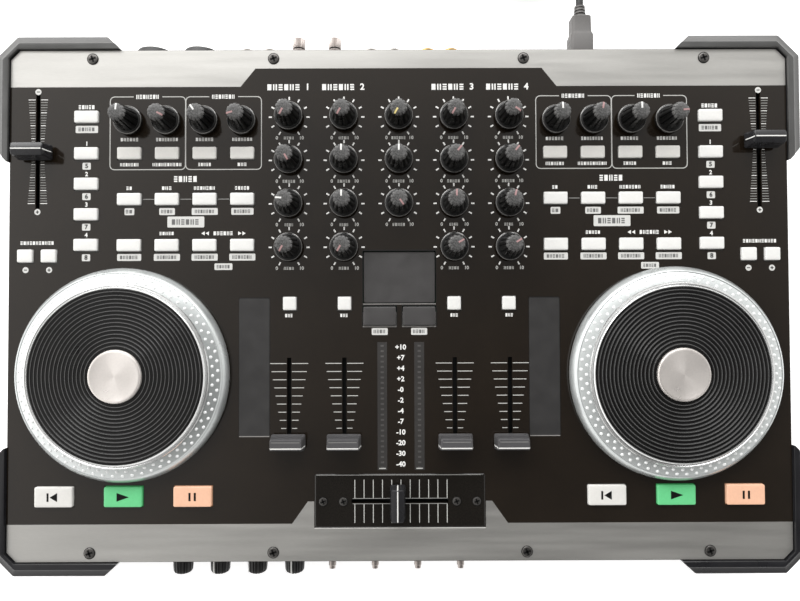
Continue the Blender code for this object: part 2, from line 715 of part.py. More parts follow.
def make_front_switches():
    """Four lever switches on one bar, tipped up by half their throw."""
    axis_y = -EDGE_Y + SWITCH_PIVOT_DEPTH
    bar_end = 2 * MM
    tip_up = Matrix.Rotation(math.radians(90) - SWITCH_THROW, 4, "X")
    along_x = Matrix.Rotation(math.radians(90), 4, "Y")

    def bar(bm):
        length = SWITCH_X[-1] - SWITCH_X[0] + 2 * bar_end
        add_turned(bm, [(SWITCH_BAR, -length / 2), (SWITCH_BAR, length / 2)], 8)

    def lever(bm):
        profile = [
            (1.0 * MM, 0.0),
            (1.3 * MM, SWITCH_LENGTH * 0.45),
            (2.1 * MM, SWITCH_LENGTH - 1.2 * MM),
            (1.3 * MM, SWITCH_LENGTH),
        ]
        add_turned(bm, profile, 8)

    middle = (SWITCH_X[0] + SWITCH_X[-1]) / 2
    body = mesh_of("bar", bar, along_x)
    for x in SWITCH_X:
        place = Matrix.Translation((x - middle, 0, 0)) @ tip_up
        body = combined(body, mesh_of("lever", lever, place), "UNION")
    place_node("front_switches", body, NICKEL, (middle, axis_y, FRONT_AXIS_Z))


def make_fader(name, x, y, across):
    """A fader cap on its stem. across is true where the cap's long side lies along X."""
    stem = (0.7 * MM, 1.2 * MM)
    levels = [
        (*stem, -STEM_REACH),
        (*stem, CAP_BOTTOM),
        (CAP_LENGTH / 2, CAP_WIDTH / 2, CAP_BOTTOM),
        (CAP_LENGTH / 2, CAP_WIDTH / 2, CAP_BOTTOM + 2 * MM),
        (CAP_TOP_LENGTH / 2, CAP_TOP_WIDTH / 2, CAP_TOP),
    ]
    if not across:
        levels = [(half_y, half_x, z) for half_x, half_y, z in levels]
    cap = mesh_of(name, lambda bm: add_stack(bm, levels))
    place_node(name, cap, GREY_PLASTIC, (x, y, PANEL_TOP))


def make_faders():
    for side, deck in ((-1, "left"), (1, "right")):
        rest = PITCH_FADER_Y + PITCH_REST[side]
        make_fader(f"pitch_fader_{deck}", side * PITCH_FADER_X, rest, True)
    for channel, x in enumerate(CHANNEL_X, 1):
        lowest = CHANNEL_FADER_Y - CHANNEL_TRAVEL / 2
        make_fader(f"channel_{channel}_fader", x, lowest, True)
    make_fader("crossfader", CROSSFADER_REST, CROSSFADER_Y, False)


def make_jog_wheels():
    profile = [
        (JOG_HUB_RADIUS, -JOG_HUB_REACH),
        (JOG_HUB_RADIUS, JOG_UNDERSIDE),
        (JOG_RADIUS - 0.6 * MM, JOG_UNDERSIDE),
        (JOG_RADIUS, 2.4 * MM),
        (JOG_RADIUS - 3.0 * MM, 7.5 * MM),
        (JOG_DISC_RADIUS + 1.0 * MM, 10.8 * MM),
        (JOG_DISC_RADIUS, JOG_DISC_TOP),
        (JOG_HUB_RADIUS, JOG_DISC_TOP),
        (JOG_HUB_RADIUS - 0.6 * MM, JOG_CAP_TOP),
    ]
    for side, deck in ((-1, "left"), (1, "right")):
        name = f"jog_wheel_{deck}"
        wheel = mesh_of(name, lambda bm: add_turned(bm, profile, JOG_STEPS))
        place_node(name, wheel, CLEAR_GREY, (side * JOG_X, JOG_Y, PANEL_TOP), smooth=True)


# ---------------------------------------------------------------- USB lead


def smooth_route(points, per_span):
    """Points along a Catmull-Rom curve through points, per_span to each span."""
    ends = [2 * points[0] - points[1], *points, 2 * points[-1] - points[-2]]
    route = []
    for before, start, stop, after in zip(ends, ends[1:], ends[2:], ends[3:]):
        for step in range(per_span):
            t = step / per_span
            pull = (stop - before) * t
            curve = (2 * before - 5 * start + 4 * stop - after) * t**2
            twist = (3 * start - before - 3 * stop + after) * t**3
            route.append((2 * start + pull + curve + twist) / 2)
    route.append(points[-1])
    return route


def make_lead():
    route = [Vector((USB_X, y, z)) for y, z in LEAD_ROUTE]
    points = smooth_route(route, 2)
    curve = bpy.data.curves.new("usb_cord", "CURVE")
    curve.dimensions = "3D"
    curve.bevel_depth = LEAD_RADIUS
    curve.bevel_resolution = 2
    curve.use_fill_caps = True
    spline = curve.splines.new("POLY")
    spline.points.add(len(points) - 1)
    for point, place in zip(spline.points, points):
        point.co = (*place, 1.0)
    curve.materials.append(material("usb_cord", *BLACK_PLASTIC))
    cord = bpy.data.objects.new("usb_cord", curve)
    bpy.context.scene.collection.objects.link(cord)


def make_coil():
    """The envelope of the wound lead, as a turned ring."""
    corners = [
        (COIL_INNER, 1.5 * MM),
        (COIL_INNER + 1.5 * MM, 0.0),
        (COIL_OUTER - 1.5 * MM, 0.0),
        (COIL_OUTER, 1.5 * MM),
        (COIL_OUTER, COIL_HEIGHT - 1.5 * MM),
        (COIL_OUTER - 1.5 * MM, COIL_HEIGHT),
        (COIL_INNER + 1.5 * MM, COIL_HEIGHT),
        (COIL_INNER, COIL_HEIGHT - 1.5 * MM),
    ]

    def ring(bm):
        made = []
        for step in range(COIL_STEPS):
            angle = 2 * math.pi * step / COIL_STEPS
            around = Vector((math.cos(angle), math.sin(angle), 0))
            made.append([bm.verts.new(around * r + Vector((0, 0, z))) for r, z in corners])
        for here, there in zip(made, made[1:] + made[:1]):
            for i, corner in enumerate(here):
                j = (i + 1) % len(here)
                bm.faces.new((corner, here[j], there[j], there[i]))

    centre = (USB_X - COIL_TURN_RADIUS, COIL_Y, 0)
    place_node("usb_cord_coil", mesh_of("coil", ring), BLACK_PLASTIC, centre, smooth=True)


def make_plugs():
    """The type B plug in the rear socket, and the type A plug at the lead's far end."""
    middle_end = 29.2 * MM
    relief_end = LEAD_START_Y - EDGE_Y - GAP
    levels = [
        (3.9 * MM, 3.7 * MM, -USB_INSERT),
        (3.9 * MM, 3.7 * MM, PLUG_FACE),
        (6.8 * MM, 6.0 * MM, PLUG_FACE),
        (6.8 * MM, 6.0 * MM, 17.4 * MM),
        (5.9 * MM, 5.2 * MM, 19.0 * MM),
        (5.7 * MM, 5.1 * MM, middle_end - 1.0 * MM),
        (4.0 * MM, 4.0 * MM, middle_end),
        (3.3 * MM, 3.3 * MM, relief_end),
    ]
    turn = facing_rear((0, 0, 0))
    plug = mesh_of("usb_plug_b", lambda bm: add_stack(bm, levels), turn)
    place_node("usb_plug_b", plug, GREY_PLASTIC, (USB_X, EDGE_Y, REAR_AXIS_Z))

    body_half = 4.1 * MM
    relief = 10.0 * MM
    body_end = relief + 24.0 * MM
    shell_end = body_end + 11.7 * MM
    levels = [
        (2.9 * MM, 2.9 * MM, 0.0),
        (3.6 * MM, 3.6 * MM, relief),
        (7.6 * MM, body_half, relief + 2.0 * MM),
        (7.8 * MM, body_half, body_end),
        (6.0 * MM, 2.25 * MM, body_end),
        (6.0 * MM, 2.25 * MM, shell_end),
    ]
    # Lying flat, with its wide side down, pointing along -X
    lie = Matrix.Rotation(math.radians(-90), 4, "Y") @ Matrix.Rotation(math.radians(90), 4, "Z")
    plug = mesh_of("usb_plug_a", lambda bm: add_stack(bm, levels), lie)
    start = (USB_X - COIL_TURN_RADIUS - TAIL_START, COIL_Y + COIL_TURN_RADIUS, body_half)
    place_node("usb_plug_a", plug, GREY_PLASTIC, start)


def main():
    for old in list(bpy.data.objects):
        bpy.data.objects.remove(old)
    keys = [(side * x, y, size) for side in (-1, 1) for x, y, size in mat_keys()]
    keys += [(x, TRANSPORT_Y, TRANSPORT_SIZE) for _, x, _ in transport_keys()]
    make_faceplate(keys)
    make_chassis()
    make_bumpers()
    make_circuit_board()
    make_keypads()
    make_transport_keys()
    make_top_knobs()
    make_front_knobs()
    make_front_switches()
    make_faders()
    make_jog_wheels()
    make_lead()
    make_coil()
    make_plugs()


main()
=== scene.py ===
"""The looks of a four-channel DJ controller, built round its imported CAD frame.

Shapes are given in millimetres and become metres where a vertex is made.
"""

import json
import math

import bmesh
import bpy
from mathutils import Matrix, Vector

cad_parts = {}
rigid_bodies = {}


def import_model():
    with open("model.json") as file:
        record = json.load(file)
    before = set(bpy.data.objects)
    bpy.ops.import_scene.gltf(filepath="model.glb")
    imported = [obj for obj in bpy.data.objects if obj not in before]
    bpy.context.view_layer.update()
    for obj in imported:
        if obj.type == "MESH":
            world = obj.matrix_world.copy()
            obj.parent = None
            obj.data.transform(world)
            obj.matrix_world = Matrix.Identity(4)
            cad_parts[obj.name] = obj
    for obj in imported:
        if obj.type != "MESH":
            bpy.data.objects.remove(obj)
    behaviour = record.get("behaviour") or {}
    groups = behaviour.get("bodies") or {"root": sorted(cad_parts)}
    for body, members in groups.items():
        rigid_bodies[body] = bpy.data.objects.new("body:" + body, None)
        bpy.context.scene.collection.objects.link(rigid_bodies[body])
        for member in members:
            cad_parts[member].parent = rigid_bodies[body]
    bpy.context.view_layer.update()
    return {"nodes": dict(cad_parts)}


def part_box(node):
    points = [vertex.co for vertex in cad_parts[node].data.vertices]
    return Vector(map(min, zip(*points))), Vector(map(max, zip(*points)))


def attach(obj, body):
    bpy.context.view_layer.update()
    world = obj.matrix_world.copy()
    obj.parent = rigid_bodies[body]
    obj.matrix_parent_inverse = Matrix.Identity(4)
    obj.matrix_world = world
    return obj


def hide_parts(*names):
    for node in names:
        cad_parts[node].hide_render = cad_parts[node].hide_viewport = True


for old in list(bpy.data.objects):
    bpy.data.objects.remove(old)
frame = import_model()

MM = 0.001
PANEL = 46.0  # height of the faceplate's top
UNDERSIDE = 44.4
PLATE_TOP = PANEL + 0.85  # top of the crossfader's own plate
FRONT_Z = 26.0  # height of the controls in the front wall
EDGE_X, EDGE_Y = 224.0, 146.7
SHARP = math.radians(32)
FONT_SIZE = 1.42  # of a digit one unit high
HOUSING = "housing"


def spin(degrees, axis="Z"):
    return Matrix.Rotation(math.radians(degrees), 4, axis)


def span(start, way, near, far):
    """The two ends of a run that lies from near to far on one side of start, the lower one first."""
    return sorted((start + way * near, start + way * far))


def add_object(name, data):
    made = bpy.data.objects.new(name, data)
    bpy.context.scene.collection.objects.link(made)
    return made


def math_node(tree, operation, source, value):
    node = tree.nodes.new("ShaderNodeMath")
    node.operation = operation
    node.inputs[1].default_value = value
    tree.links.new(source, node.inputs[0])
    return node


# --- finishes


def finish(name, colour, roughness, metallic=0.0, grain=900.0, tone=0.12, relief=0.02,
           stretch=(1, 1, 1), spread=0.06, **sockets):
    """A Principled material whose tone, roughness and relief follow two noises."""
    made = bpy.data.materials.new(name)
    made.use_nodes = True
    nodes, links = made.node_tree.nodes, made.node_tree.links
    shader = nodes["Principled BSDF"]
    shader.inputs["Metallic"].default_value = metallic
    for socket, value in sockets.items():
        shader.inputs[socket.replace("_", " ").title().replace("Ior", "IOR")].default_value = value
    coords = nodes.new("ShaderNodeTexCoord")
    mapping = nodes.new("ShaderNodeMapping")
    mapping.inputs["Scale"].default_value = stretch
    links.new(coords.outputs["Object"], mapping.inputs["Vector"])

    def noise(scale, detail):
        node = nodes.new("ShaderNodeTexNoise")
        node.inputs["Scale"].default_value = scale
        node.inputs["Detail"].default_value = detail
        links.new(mapping.outputs["Vector"], node.inputs["Vector"])
        return node.outputs["Fac"]

    broad, fine = noise(grain / 20, 3), noise(grain, 5)
    halved = math_node(made.node_tree, "MULTIPLY", broad, 0.5)
    blend = math_node(made.node_tree, "MULTIPLY_ADD", fine, 0.5)
    links.new(halved.outputs[0], blend.inputs[2])
    ramp = nodes.new("ShaderNodeValToRGB")
    ramp.color_ramp.elements[0].position = 0.3
    ramp.color_ramp.elements[1].position = 0.7
    for element, share in zip(ramp.color_ramp.elements, (1 - tone, 1 + tone)):
        element.color = (*(min(1.0, c * share) for c in colour), 1.0)
    links.new(blend.outputs[0], ramp.inputs["Fac"])
    links.new(ramp.outputs["Color"], shader.inputs["Base Color"])
    rough = nodes.new("ShaderNodeMapRange")
    rough.inputs["From Min"].default_value = 0.3
    rough.inputs["From Max"].default_value = 0.7
    rough.inputs["To Min"].default_value = max(0.02, roughness - spread)
    rough.inputs["To Max"].default_value = min(1.0, roughness + spread)
    links.new(broad, rough.inputs["Value"])
    links.new(rough.outputs["Result"], shader.inputs["Roughness"])
    bump = nodes.new("ShaderNodeBump")
    bump.inputs["Strength"].default_value = 0.5
    bump.inputs["Distance"].default_value = relief * MM
    links.new(fine, bump.inputs["Height"])
    links.new(bump.outputs["Normal"], shader.inputs["Normal"])
    return made


def turned_grain(made, strength):
    """Anisotropy round the object's own Z axis, as on a face turned on a lathe."""
    nodes, links = made.node_tree.nodes, made.node_tree.links
    shader = nodes["Principled BSDF"]
    shader.inputs["Anisotropic"].default_value = strength
    shader.inputs["Anisotropic Rotation"].default_value = 0.25
    tangent = nodes.new("ShaderNodeTangent")
    tangent.direction_type = "RADIAL"
    tangent.axis = "Z"
    links.new(tangent.outputs["Tangent"], shader.inputs["Tangent"])
    return made


ENAMEL = finish("gloss_enamel", (0.0125, 0.0088, 0.0058), 0.10, grain=700, tone=0.2, relief=0.002,
                spread=0.03, coat_weight=0.3, coat_roughness=0.05)
SILVER = finish("brushed_silver_band", (0.56, 0.553, 0.530), 0.40, 0.88, 260, 0.06, 0.006,
                (1, 14, 14))
PRINT = finish("white_print", (0.86, 0.86, 0.84), 0.5, tone=0.04)
SOFT_PRINT = finish("light_grey_print", (0.52, 0.52, 0.50), 0.5, tone=0.05)
# Grey print, also used for two painted highlight lines on the grey fader caps.
FAINT_PRINT_AND_HIGHLIGHT = finish("grey_print_and_painted_highlight", (0.27, 0.27, 0.26), 0.5, tone=0.06)
TAG = finish("label_tag", (0.66, 0.66, 0.64), 0.5, tone=0.05)
# Dark print, also used as painted shade in recesses, such as the screws' cross recesses.
INK_AND_RECESS_SHADE = finish("dark_ink_and_painted_recess_shade", (0.005, 0.005, 0.005), 0.55, tone=0.2, specular_ior_level=0.15)
TAG_INK = finish("grey_ink", (0.13, 0.13, 0.13), 0.5, tone=0.1)
POWDER = finish("powder_coat", (0.012, 0.012, 0.013), 0.5, 0.2, 1500, 0.25, 0.05)
RUBBER = finish("bumper_rubber", (0.013, 0.013, 0.015), 0.36, grain=1600, tone=0.18, relief=0.05)
# Lit and shaded copies of the rubber for the bumpers' shoulders: painted light at the rear, painted
# shade at the front.
SLOPE_FRONT_PAINTED_SHADE = finish("bumper_slope_front_painted_shade", (0.010, 0.010, 0.012), 0.30, grain=1600, tone=0.14,
                     relief=0.03)
SLOPE_REAR_PAINTED_LIGHT = finish("bumper_slope_rear_painted_light", (0.075, 0.075, 0.074), 0.34, grain=1600, tone=0.14,
                    relief=0.03, coat_weight=0.3, coat_roughness=0.35)
BOARD = finish("solder_mask", (0.010, 0.10, 0.035), 0.35, tone=0.2)
GRIP = finish("knob_grip", (0.0045, 0.0045, 0.0045), 0.30, grain=1300, tone=0.2, relief=0.02,
              specular_ior_level=0.35)
# The knob's top: mottled texture, painted a lighter grey than the body as a painted highlight on the
# dome.
GRIP_TOP_PAINTED_HIGHLIGHT = finish("knob_top_painted_highlight", (0.120, 0.119, 0.118), 0.45, grain=1500, tone=0.95, relief=0.15)
SKIRT = finish("knob_skirt", (0.006, 0.006, 0.006), 0.20, tone=0.2, relief=0.004, spread=0.03)
# A lighter ring on the knob skirt's edge: a painted highlight.
SKIRT_EDGE_PAINTED_HIGHLIGHT = finish("knob_skirt_edge_painted_highlight", (0.20, 0.195, 0.19), 0.22, 0.6, tone=0.15, relief=0.004,
                    spread=0.03)
PINK = finish("pink_pointer", (0.40, 0.24, 0.24), 0.45, tone=0.08)
WHITE = finish("white_pointer", (0.78, 0.78, 0.76), 0.45, tone=0.05)
YELLOW = finish("yellow_pointer", (0.72, 0.60, 0.24), 0.45, tone=0.08)
CAP_GREY = finish("fader_cap_grey", (0.078, 0.077, 0.080), 0.32, tone=0.14)
CAP_BLACK = finish("fader_cap_black", (0.016, 0.016, 0.018), 0.28, tone=0.15)
STEEL = finish("brushed_steel", (0.48, 0.47, 0.46), 0.32, 1.0, 900, 0.08, 0.01)
NICKEL = finish("nickel_plate", (0.62, 0.60, 0.57), 0.18, 1.0, 700, 0.06, 0.004)
LEVER = finish("dull_nickel", (0.40, 0.36, 0.34), 0.34, 0.75, 900, 0.10, 0.01)
GOLD = finish("gold_plate", (0.78, 0.53, 0.20), 0.20, 1.0, 700, 0.06, 0.004)
SOCKET = finish("socket_plastic", (0.014, 0.014, 0.014), 0.42, tone=0.2)
SCREW = finish("blackened_screw", (0.12, 0.115, 0.11), 0.28, 0.8, 1200, 0.2, 0.02)
JOG_RIM = finish("jog_rim", (0.60, 0.63, 0.63), 0.30, 0.72, 800, 0.06, 0.01, spread=0.05)
JOG_LIP = turned_grain(finish("jog_lip", (0.78, 0.79, 0.79), 0.20, 0.9, 700, 0.05, 0.004), 0.4)
JOG_DOT = finish("jog_dot", (0.86, 0.88, 0.88), 0.28, tone=0.04)
JOG_DISC = finish("jog_disc", (0.0045, 0.0045, 0.0045), 0.30, tone=0.25, relief=0.006,
                  specular_ior_level=0.3)
# Lighter grey on the crests of the black disc's grooves: painted highlights.
JOG_CREST_PAINTED_HIGHLIGHT = finish("jog_groove_crest_painted_highlight", (0.115, 0.115, 0.115), 0.28, tone=0.15, relief=0.006)
JOG_CAP = turned_grain(finish("turned_aluminium", (0.95, 0.90, 0.86), 0.31, 0.78, 900, 0.05, 0.004),
                       0.92)
KEY_WHITE = finish("white_silicone", (0.80, 0.80, 0.78), 0.48, tone=0.04, relief=0.02)
# A darker copy of the white silicone for keys that get less light: painted shade.
KEY_WHITE_PAINTED_SHADE = finish("white_silicone_painted_shade", (0.74, 0.73, 0.70), 0.48, tone=0.05, relief=0.02)
KEY_GREEN = finish("green_silicone", (0.14, 0.56, 0.25), 0.42, tone=0.07, relief=0.02)
KEY_ORANGE = finish("orange_silicone", (0.78, 0.47, 0.33), 0.42, tone=0.07, relief=0.02)
for lit, glow, strength in ((KEY_GREEN, (0.05, 0.7, 0.16), 0.10), (KEY_ORANGE, (1.0, 0.55, 0.3), 0.12)):
    sockets = lit.node_tree.nodes["Principled BSDF"].inputs
    sockets["Emission Color"].default_value = (*glow, 1)
    sockets["Emission Strength"].default_value = strength
PAD = finish("touchpad_film", (0.052, 0.050, 0.050), 0.46, grain=2600, tone=0.15, relief=0.03)
STRIP = finish("touch_strip_film", (0.034, 0.033, 0.033), 0.34, grain=2600, tone=0.15, relief=0.02)
METER = finish("meter_window", (0.040, 0.038, 0.037), 0.20, tone=0.15, relief=0.002)
SEGMENT = finish("unlit_segment", (0.085, 0.082, 0.080), 0.25, tone=0.1)
CORD = finish("cord_sheath", (0.020, 0.020, 0.021), 0.45, grain=1400, tone=0.15, relief=0.03)
PLUG = finish("plug_moulding", (0.115, 0.110, 0.107), 0.48, grain=1500, tone=0.14, relief=0.05)
RIM_DARK = finish("recess_shadow", (0.004, 0.004, 0.004), 0.4, tone=0.2)
# A painted highlight for the front edges of sunk panels.
RIM_PAINTED_HIGHLIGHT = finish("recess_edge_painted_highlight", (0.28, 0.27, 0.26), 0.25, tone=0.1)
# A painted highlight for the crossfader plate's front edge.
PLATE_EDGE_PAINTED_HIGHLIGHT = finish("plate_front_edge_painted_highlight", (0.72, 0.71, 0.69), 0.25, tone=0.1)
PLATE = finish("crossfader_plate", (0.0095, 0.0080, 0.0065), 0.22, grain=700, tone=0.2, relief=0.002,
               spread=0.03, specular_ior_level=0.3)
JACK_WHITE = finish("jack_insulator_white", (0.7, 0.7, 0.68), 0.4)
JACK_RED = finish("jack_insulator_red", (0.5, 0.02, 0.02), 0.4)
FLOOR = finish("white_floor", (0.90, 0.90, 0.90), 0.7, grain=60, tone=0.01, relief=0.0,
               emission_color=(1, 1, 1, 1), emission_strength=0.62)


# --- shape helpers


def ring_points(radius, sides, height=0.0, flutes=0, depth=0.0):
    """A circle, with that many grip notches cut into it."""
    points = []
    for step in range(sides):
        angle = 2 * math.pi * step / sides
        notch = max(0.0, math.cos(flutes * angle)) ** 3 if flutes else 0.0
        r = radius - depth * notch
        points.append((r * math.cos(angle), r * math.sin(angle), height))
    return points


def rounded(half_x, half_y, radius, height=0.0, centre=(0.0, 0.0), steps=4):
    """A rectangle with round corners."""
    radius = max(0.02, min(radius, half_x - 0.01, half_y - 0.01))
    points = []
    for quarter, (sx, sy) in enumerate(((1, 1), (-1, 1), (-1, -1), (1, -1))):
        for step in range(steps + 1):
            angle = math.pi / 2 * (quarter + step / steps)
            x = centre[0] + sx * (half_x - radius) + radius * math.cos(angle)
            y = centre[1] + sy * (half_y - radius) + radius * math.sin(angle)
            points.append((x, y, height))
    return points


def filleted(points, reach, steps=3):
    """The outline with each corner rounded off from reach before it to reach after it."""
    made = []
    for i, corner in enumerate(points):
        before, after = Vector(points[i - 1]), Vector(points[(i + 1) % len(points)])
        corner = Vector(corner)
        start = corner + (before - corner).normalized() * reach
        end = corner + (after - corner).normalized() * reach
        for step in range(steps + 1):
            t = step / steps
            made.append(start * (1 - t) ** 2 + corner * 2 * t * (1 - t) + end * t**2)
    return made


def facing_rear(x, y, z):
    """Puts a shape that stands on +Z so that it points to +Y."""
    return Matrix.Translation((x, y, z)) @ spin(-90, "X")


def facing_front(x, y, z):
    return Matrix.Translation((x, y, z)) @ spin(90, "X")


class Shape:
    """Closed solids gathered into one mesh, each with its own finish."""

    def __init__(self, place=None):
        self.bm = bmesh.new()
        self.finishes = []
        self.place = place or Matrix.Identity(4)

    def slot(self, made):
        if made not in self.finishes:
            self.finishes.append(made)
        return self.finishes.index(made)

    def loft(self, rings, made, place=None, closed=False):
        """A skin over rings of equally many points, capped at its two ends unless it closes."""
        at = self.place @ (place or Matrix.Identity(4))
        rows = [[self.bm.verts.new((at @ Vector(p)) * MM) for p in ring] for ring in rings]
        pairs = list(zip(rows, rows[1:] + rows[:1] if closed else rows[1:]))
        faces = []
        for low, high in pairs:
            for i in range(len(low)):
                j = (i + 1) % len(low)
                faces.append(self.bm.faces.new((low[i], low[j], high[j], high[i])))
        if not closed:
            faces.append(self.bm.faces.new(rows[0][::-1]))
            faces.append(self.bm.faces.new(rows[-1]))
        for face in faces:
            face.material_index = self.slot(made)

    def turned(self, profile, sides, made, place=None, flutes=0, depth=0.0):
        """A solid of revolution from (radius, height) pairs."""
        rings = [ring_points(max(r, 0.01), sides, z, flutes, min(depth, r * 0.2)) for r, z in profile]
        self.loft(rings, made, place)

    def washer(self, profile, sides, made, place=None):
        """A ring whose cross-section is the closed outline of (radius, height) pairs."""
        rings = []
        for step in range(sides):
            angle = 2 * math.pi * step / sides
            rings.append([(r * math.cos(angle), r * math.sin(angle), z) for r, z in profile])
        self.loft(rings, made, place, closed=True)

    def prism(self, outline, low, high, made, place=None):
        self.loft([[(p[0], p[1], z) for p in outline] for z in (low, high)], made, place)

    def box(self, low, high, made, place=None):
        (x0, y0, z0), (x1, y1, z1) = low, high
        self.prism([(x0, y0), (x1, y0), (x1, y1), (x0, y1)], z0, z1, made, place)

    def pad(self, centre, half, low, high, made, corner=1.0, edge=0.4, crown=0.0):
        """A plate with round corners and a rounded top edge, flat on top or slightly crowned."""
        hx, hy = half
        rings = [rounded(hx, hy, corner, low, centre)]
        for step in range(4):
            turn = math.pi / 2 * step / 3
            inset, drop = edge * (1 - math.cos(turn)), edge * (1 - math.sin(turn))
            rings.append(rounded(hx - inset, hy - inset, corner, high - drop - crown, centre))
        if crown:
            for share, rise in ((0.8, 0.6), (0.5, 1.0)):
                top = high - crown * (1 - rise)
                rings.append(rounded(hx * share, hy * share, corner, top, centre))
        else:
            inset = edge + 0.3
            rings.append(rounded(hx - inset, hy - inset, corner, high, centre))
        self.loft(rings, made)

    def ribbon(self, points, width, low, high, made):
        """A flat strip along a line of points, mitred where it turns."""
        rings = []
        for i, point in enumerate(points):
            here = Vector(point)
            runs = [(here - Vector(before)).normalized() for before in points[max(i - 1, 0):i]]
            runs += [(Vector(after) - here).normalized() for after in points[i + 1:i + 2]]
            normals = [Vector((-run.y, run.x)) for run in runs]
            side = sum(normals, Vector((0, 0))).normalized()
            side *= width / 2 / max(0.3, side.dot(normals[0]))
            out, inner = here + side, here - side
            rings.append([(*out, low), (*out, high), (*inner, high), (*inner, low)])
        self.loft(rings, made)

    def text(self, body, centre, height, made, low, high):
        """Digits as raised print, centred. Height is a digit's own height."""
        curve = bpy.data.curves.new("digits", "FONT")
        curve.body = body
        curve.align_x, curve.align_y = "CENTER", "CENTER"
        curve.size = height * FONT_SIZE
        curve.resolution_u = 3
        curve.offset = 0.045 * height
        curve.extrude = (high - low) / 2
        helper = add_object("digits", curve)
        bpy.context.view_layer.update()
        evaluated = helper.evaluated_get(bpy.context.evaluated_depsgraph_get())
        mesh = bpy.data.meshes.new_from_object(evaluated)
        at = self.place @ Matrix.Translation((*centre, (low + high) / 2))
        mesh.transform(Matrix.Scale(MM, 4) @ at)
        start = len(self.bm.faces)
        self.bm.from_mesh(mesh)
        self.bm.faces.ensure_lookup_table()
        for face in self.bm.faces[start:]:
            face.material_index = self.slot(made)
        bpy.data.objects.remove(helper)
        bpy.data.curves.remove(curve)
        bpy.data.meshes.remove(mesh)


def piece(name, shape, body, replaced=(), origin=(0.0, 0.0, 0.0)):
    """Turns a shape into an object that rides on a CAD body."""
    bm = shape.bm
    bmesh.ops.recalc_face_normals(bm, faces=bm.faces[:])
    for face in bm.faces:
        face.smooth = True
    for edge in bm.edges:
        edge.smooth = edge.is_manifold and edge.calc_face_angle(0) < SHARP
    at = Vector(origin) * MM
    bmesh.ops.translate(bm, vec=-at, verts=bm.verts[:])
    mesh = bpy.data.meshes.new(name)
    bm.to_mesh(mesh)
    bm.free()
    for made in shape.finishes:
        mesh.materials.append(made)
    obj = add_object(name, mesh)
    obj.location = at
    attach(obj, body)
    if replaced:
        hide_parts(*replaced)
    return obj


# --- camera and light


def make_studio():
    lens = bpy.data.cameras.new("photo_view")
    lens.lens, lens.sensor_width = 27.45, 36.0
    lens.clip_start = 0.01
    camera = add_object("photo_view", lens)
    camera.location = (-0.0003126, -0.00565, 0.396)
    camera.rotation_euler = (0.0205, -0.0019, -0.0035)
    bpy.context.scene.camera = camera
    bpy.context.scene.view_settings.view_transform = "Standard"

    world = bpy.data.worlds.new("studio")
    world.use_nodes = True
    bpy.context.scene.world = world
    nodes, links = world.node_tree.nodes, world.node_tree.links
    toward = nodes.new("ShaderNodeTexCoord")
    lean = nodes.new("ShaderNodeVectorMath")
    lean.operation = "DOT_PRODUCT"
    lean.inputs[1].default_value = (-0.55, 0.65, -1.85)
    links.new(toward.outputs["Generated"], lean.inputs[0])
    level = math_node(world.node_tree, "ADD", lean.outputs["Value"], 2.10)
    least = math_node(world.node_tree, "MAXIMUM", level.outputs[0], 0.12)
    links.new(least.outputs[0], nodes["Background"].inputs["Strength"])
    nodes["Background"].inputs["Color"].default_value = (1.0, 0.985, 0.965, 1)

    window = bpy.data.lights.new("window", "AREA")
    window.shape = "RECTANGLE"
    window.energy, window.size, window.size_y = 27.0, 2.8, 0.5
    lamp = add_object("window", window)
    lamp.location = (-0.2, 1.4, 1.1)
    lamp.rotation_euler = Vector((0.2, -1.4, -1.1)).to_track_quat("-Z", "Y").to_euler()

    mesh = bpy.data.meshes.new("floor")
    far = 3.0
    corners = [(-far, -far, 0), (far, -far, 0), (far, far, 0), (-far, far, 0)]
    mesh.from_pydata(corners, [], [(0, 1, 2, 3)])
    mesh.materials.append(FLOOR)
    floor = add_object("floor", mesh)


# --- USB lead

USB_X, REAR_Z = 111.7, 24.0
COIL_RADIUS, COIL_Y = 31.0, 238.0
COIL_TOP, TURN_PITCH, LAYER_PITCH = 16.2, 4.7, 4.6
CORD_DIAMETER = 4.5
# Where the winding moves a turn in or out, or a layer down, by angle in degrees
WINDING = [(285, "in"), (645, "in"), (945, "down"), (1245, "out"), (1605, "out"), (1905, "down"),
           (2205, "in"), (2565, "in"), (2865, "down"), (3165, "out"), (3525, "out")]
WINDING_END, WINDING_STEP, SHIFT_OVER = 3690, 15, 60
LEAD_POINTS = [(183.1, 24.0), (191.0, 23.9), (200.0, 22.6), (209.0, 19.6), (219.6, 16.9)]


def lead_route():
    """The lead's centreline: from its plug down to the coil, through the turns, to the far plug."""
    route = [(USB_X, y, z) for y, z in LEAD_POINTS]
    for angle in range(0, WINDING_END + 1, WINDING_STEP):
        radius, height = COIL_RADIUS, COIL_TOP
        for start, move in WINDING:
            t = min(max((angle - start) / SHIFT_OVER, 0.0), 1.0)
            t = t * t * (3 - 2 * t)
            radius += {"in": -1, "out": 1, "down": 0}[move] * TURN_PITCH * t
            height -= LAYER_PITCH * t if move == "down" else 0
        turn = math.radians(angle)
        centre = USB_X - COIL_RADIUS
        route.append((centre + radius * math.cos(turn), COIL_Y + radius * math.sin(turn), height))
    end_x, end_y = route[-1][0], COIL_Y + COIL_RADIUS
    route += [(end_x - 6.0, end_y, 2.6), (end_x - 13.0, end_y, 3.4), (end_x - 19.8, end_y, 4.1)]
    return route


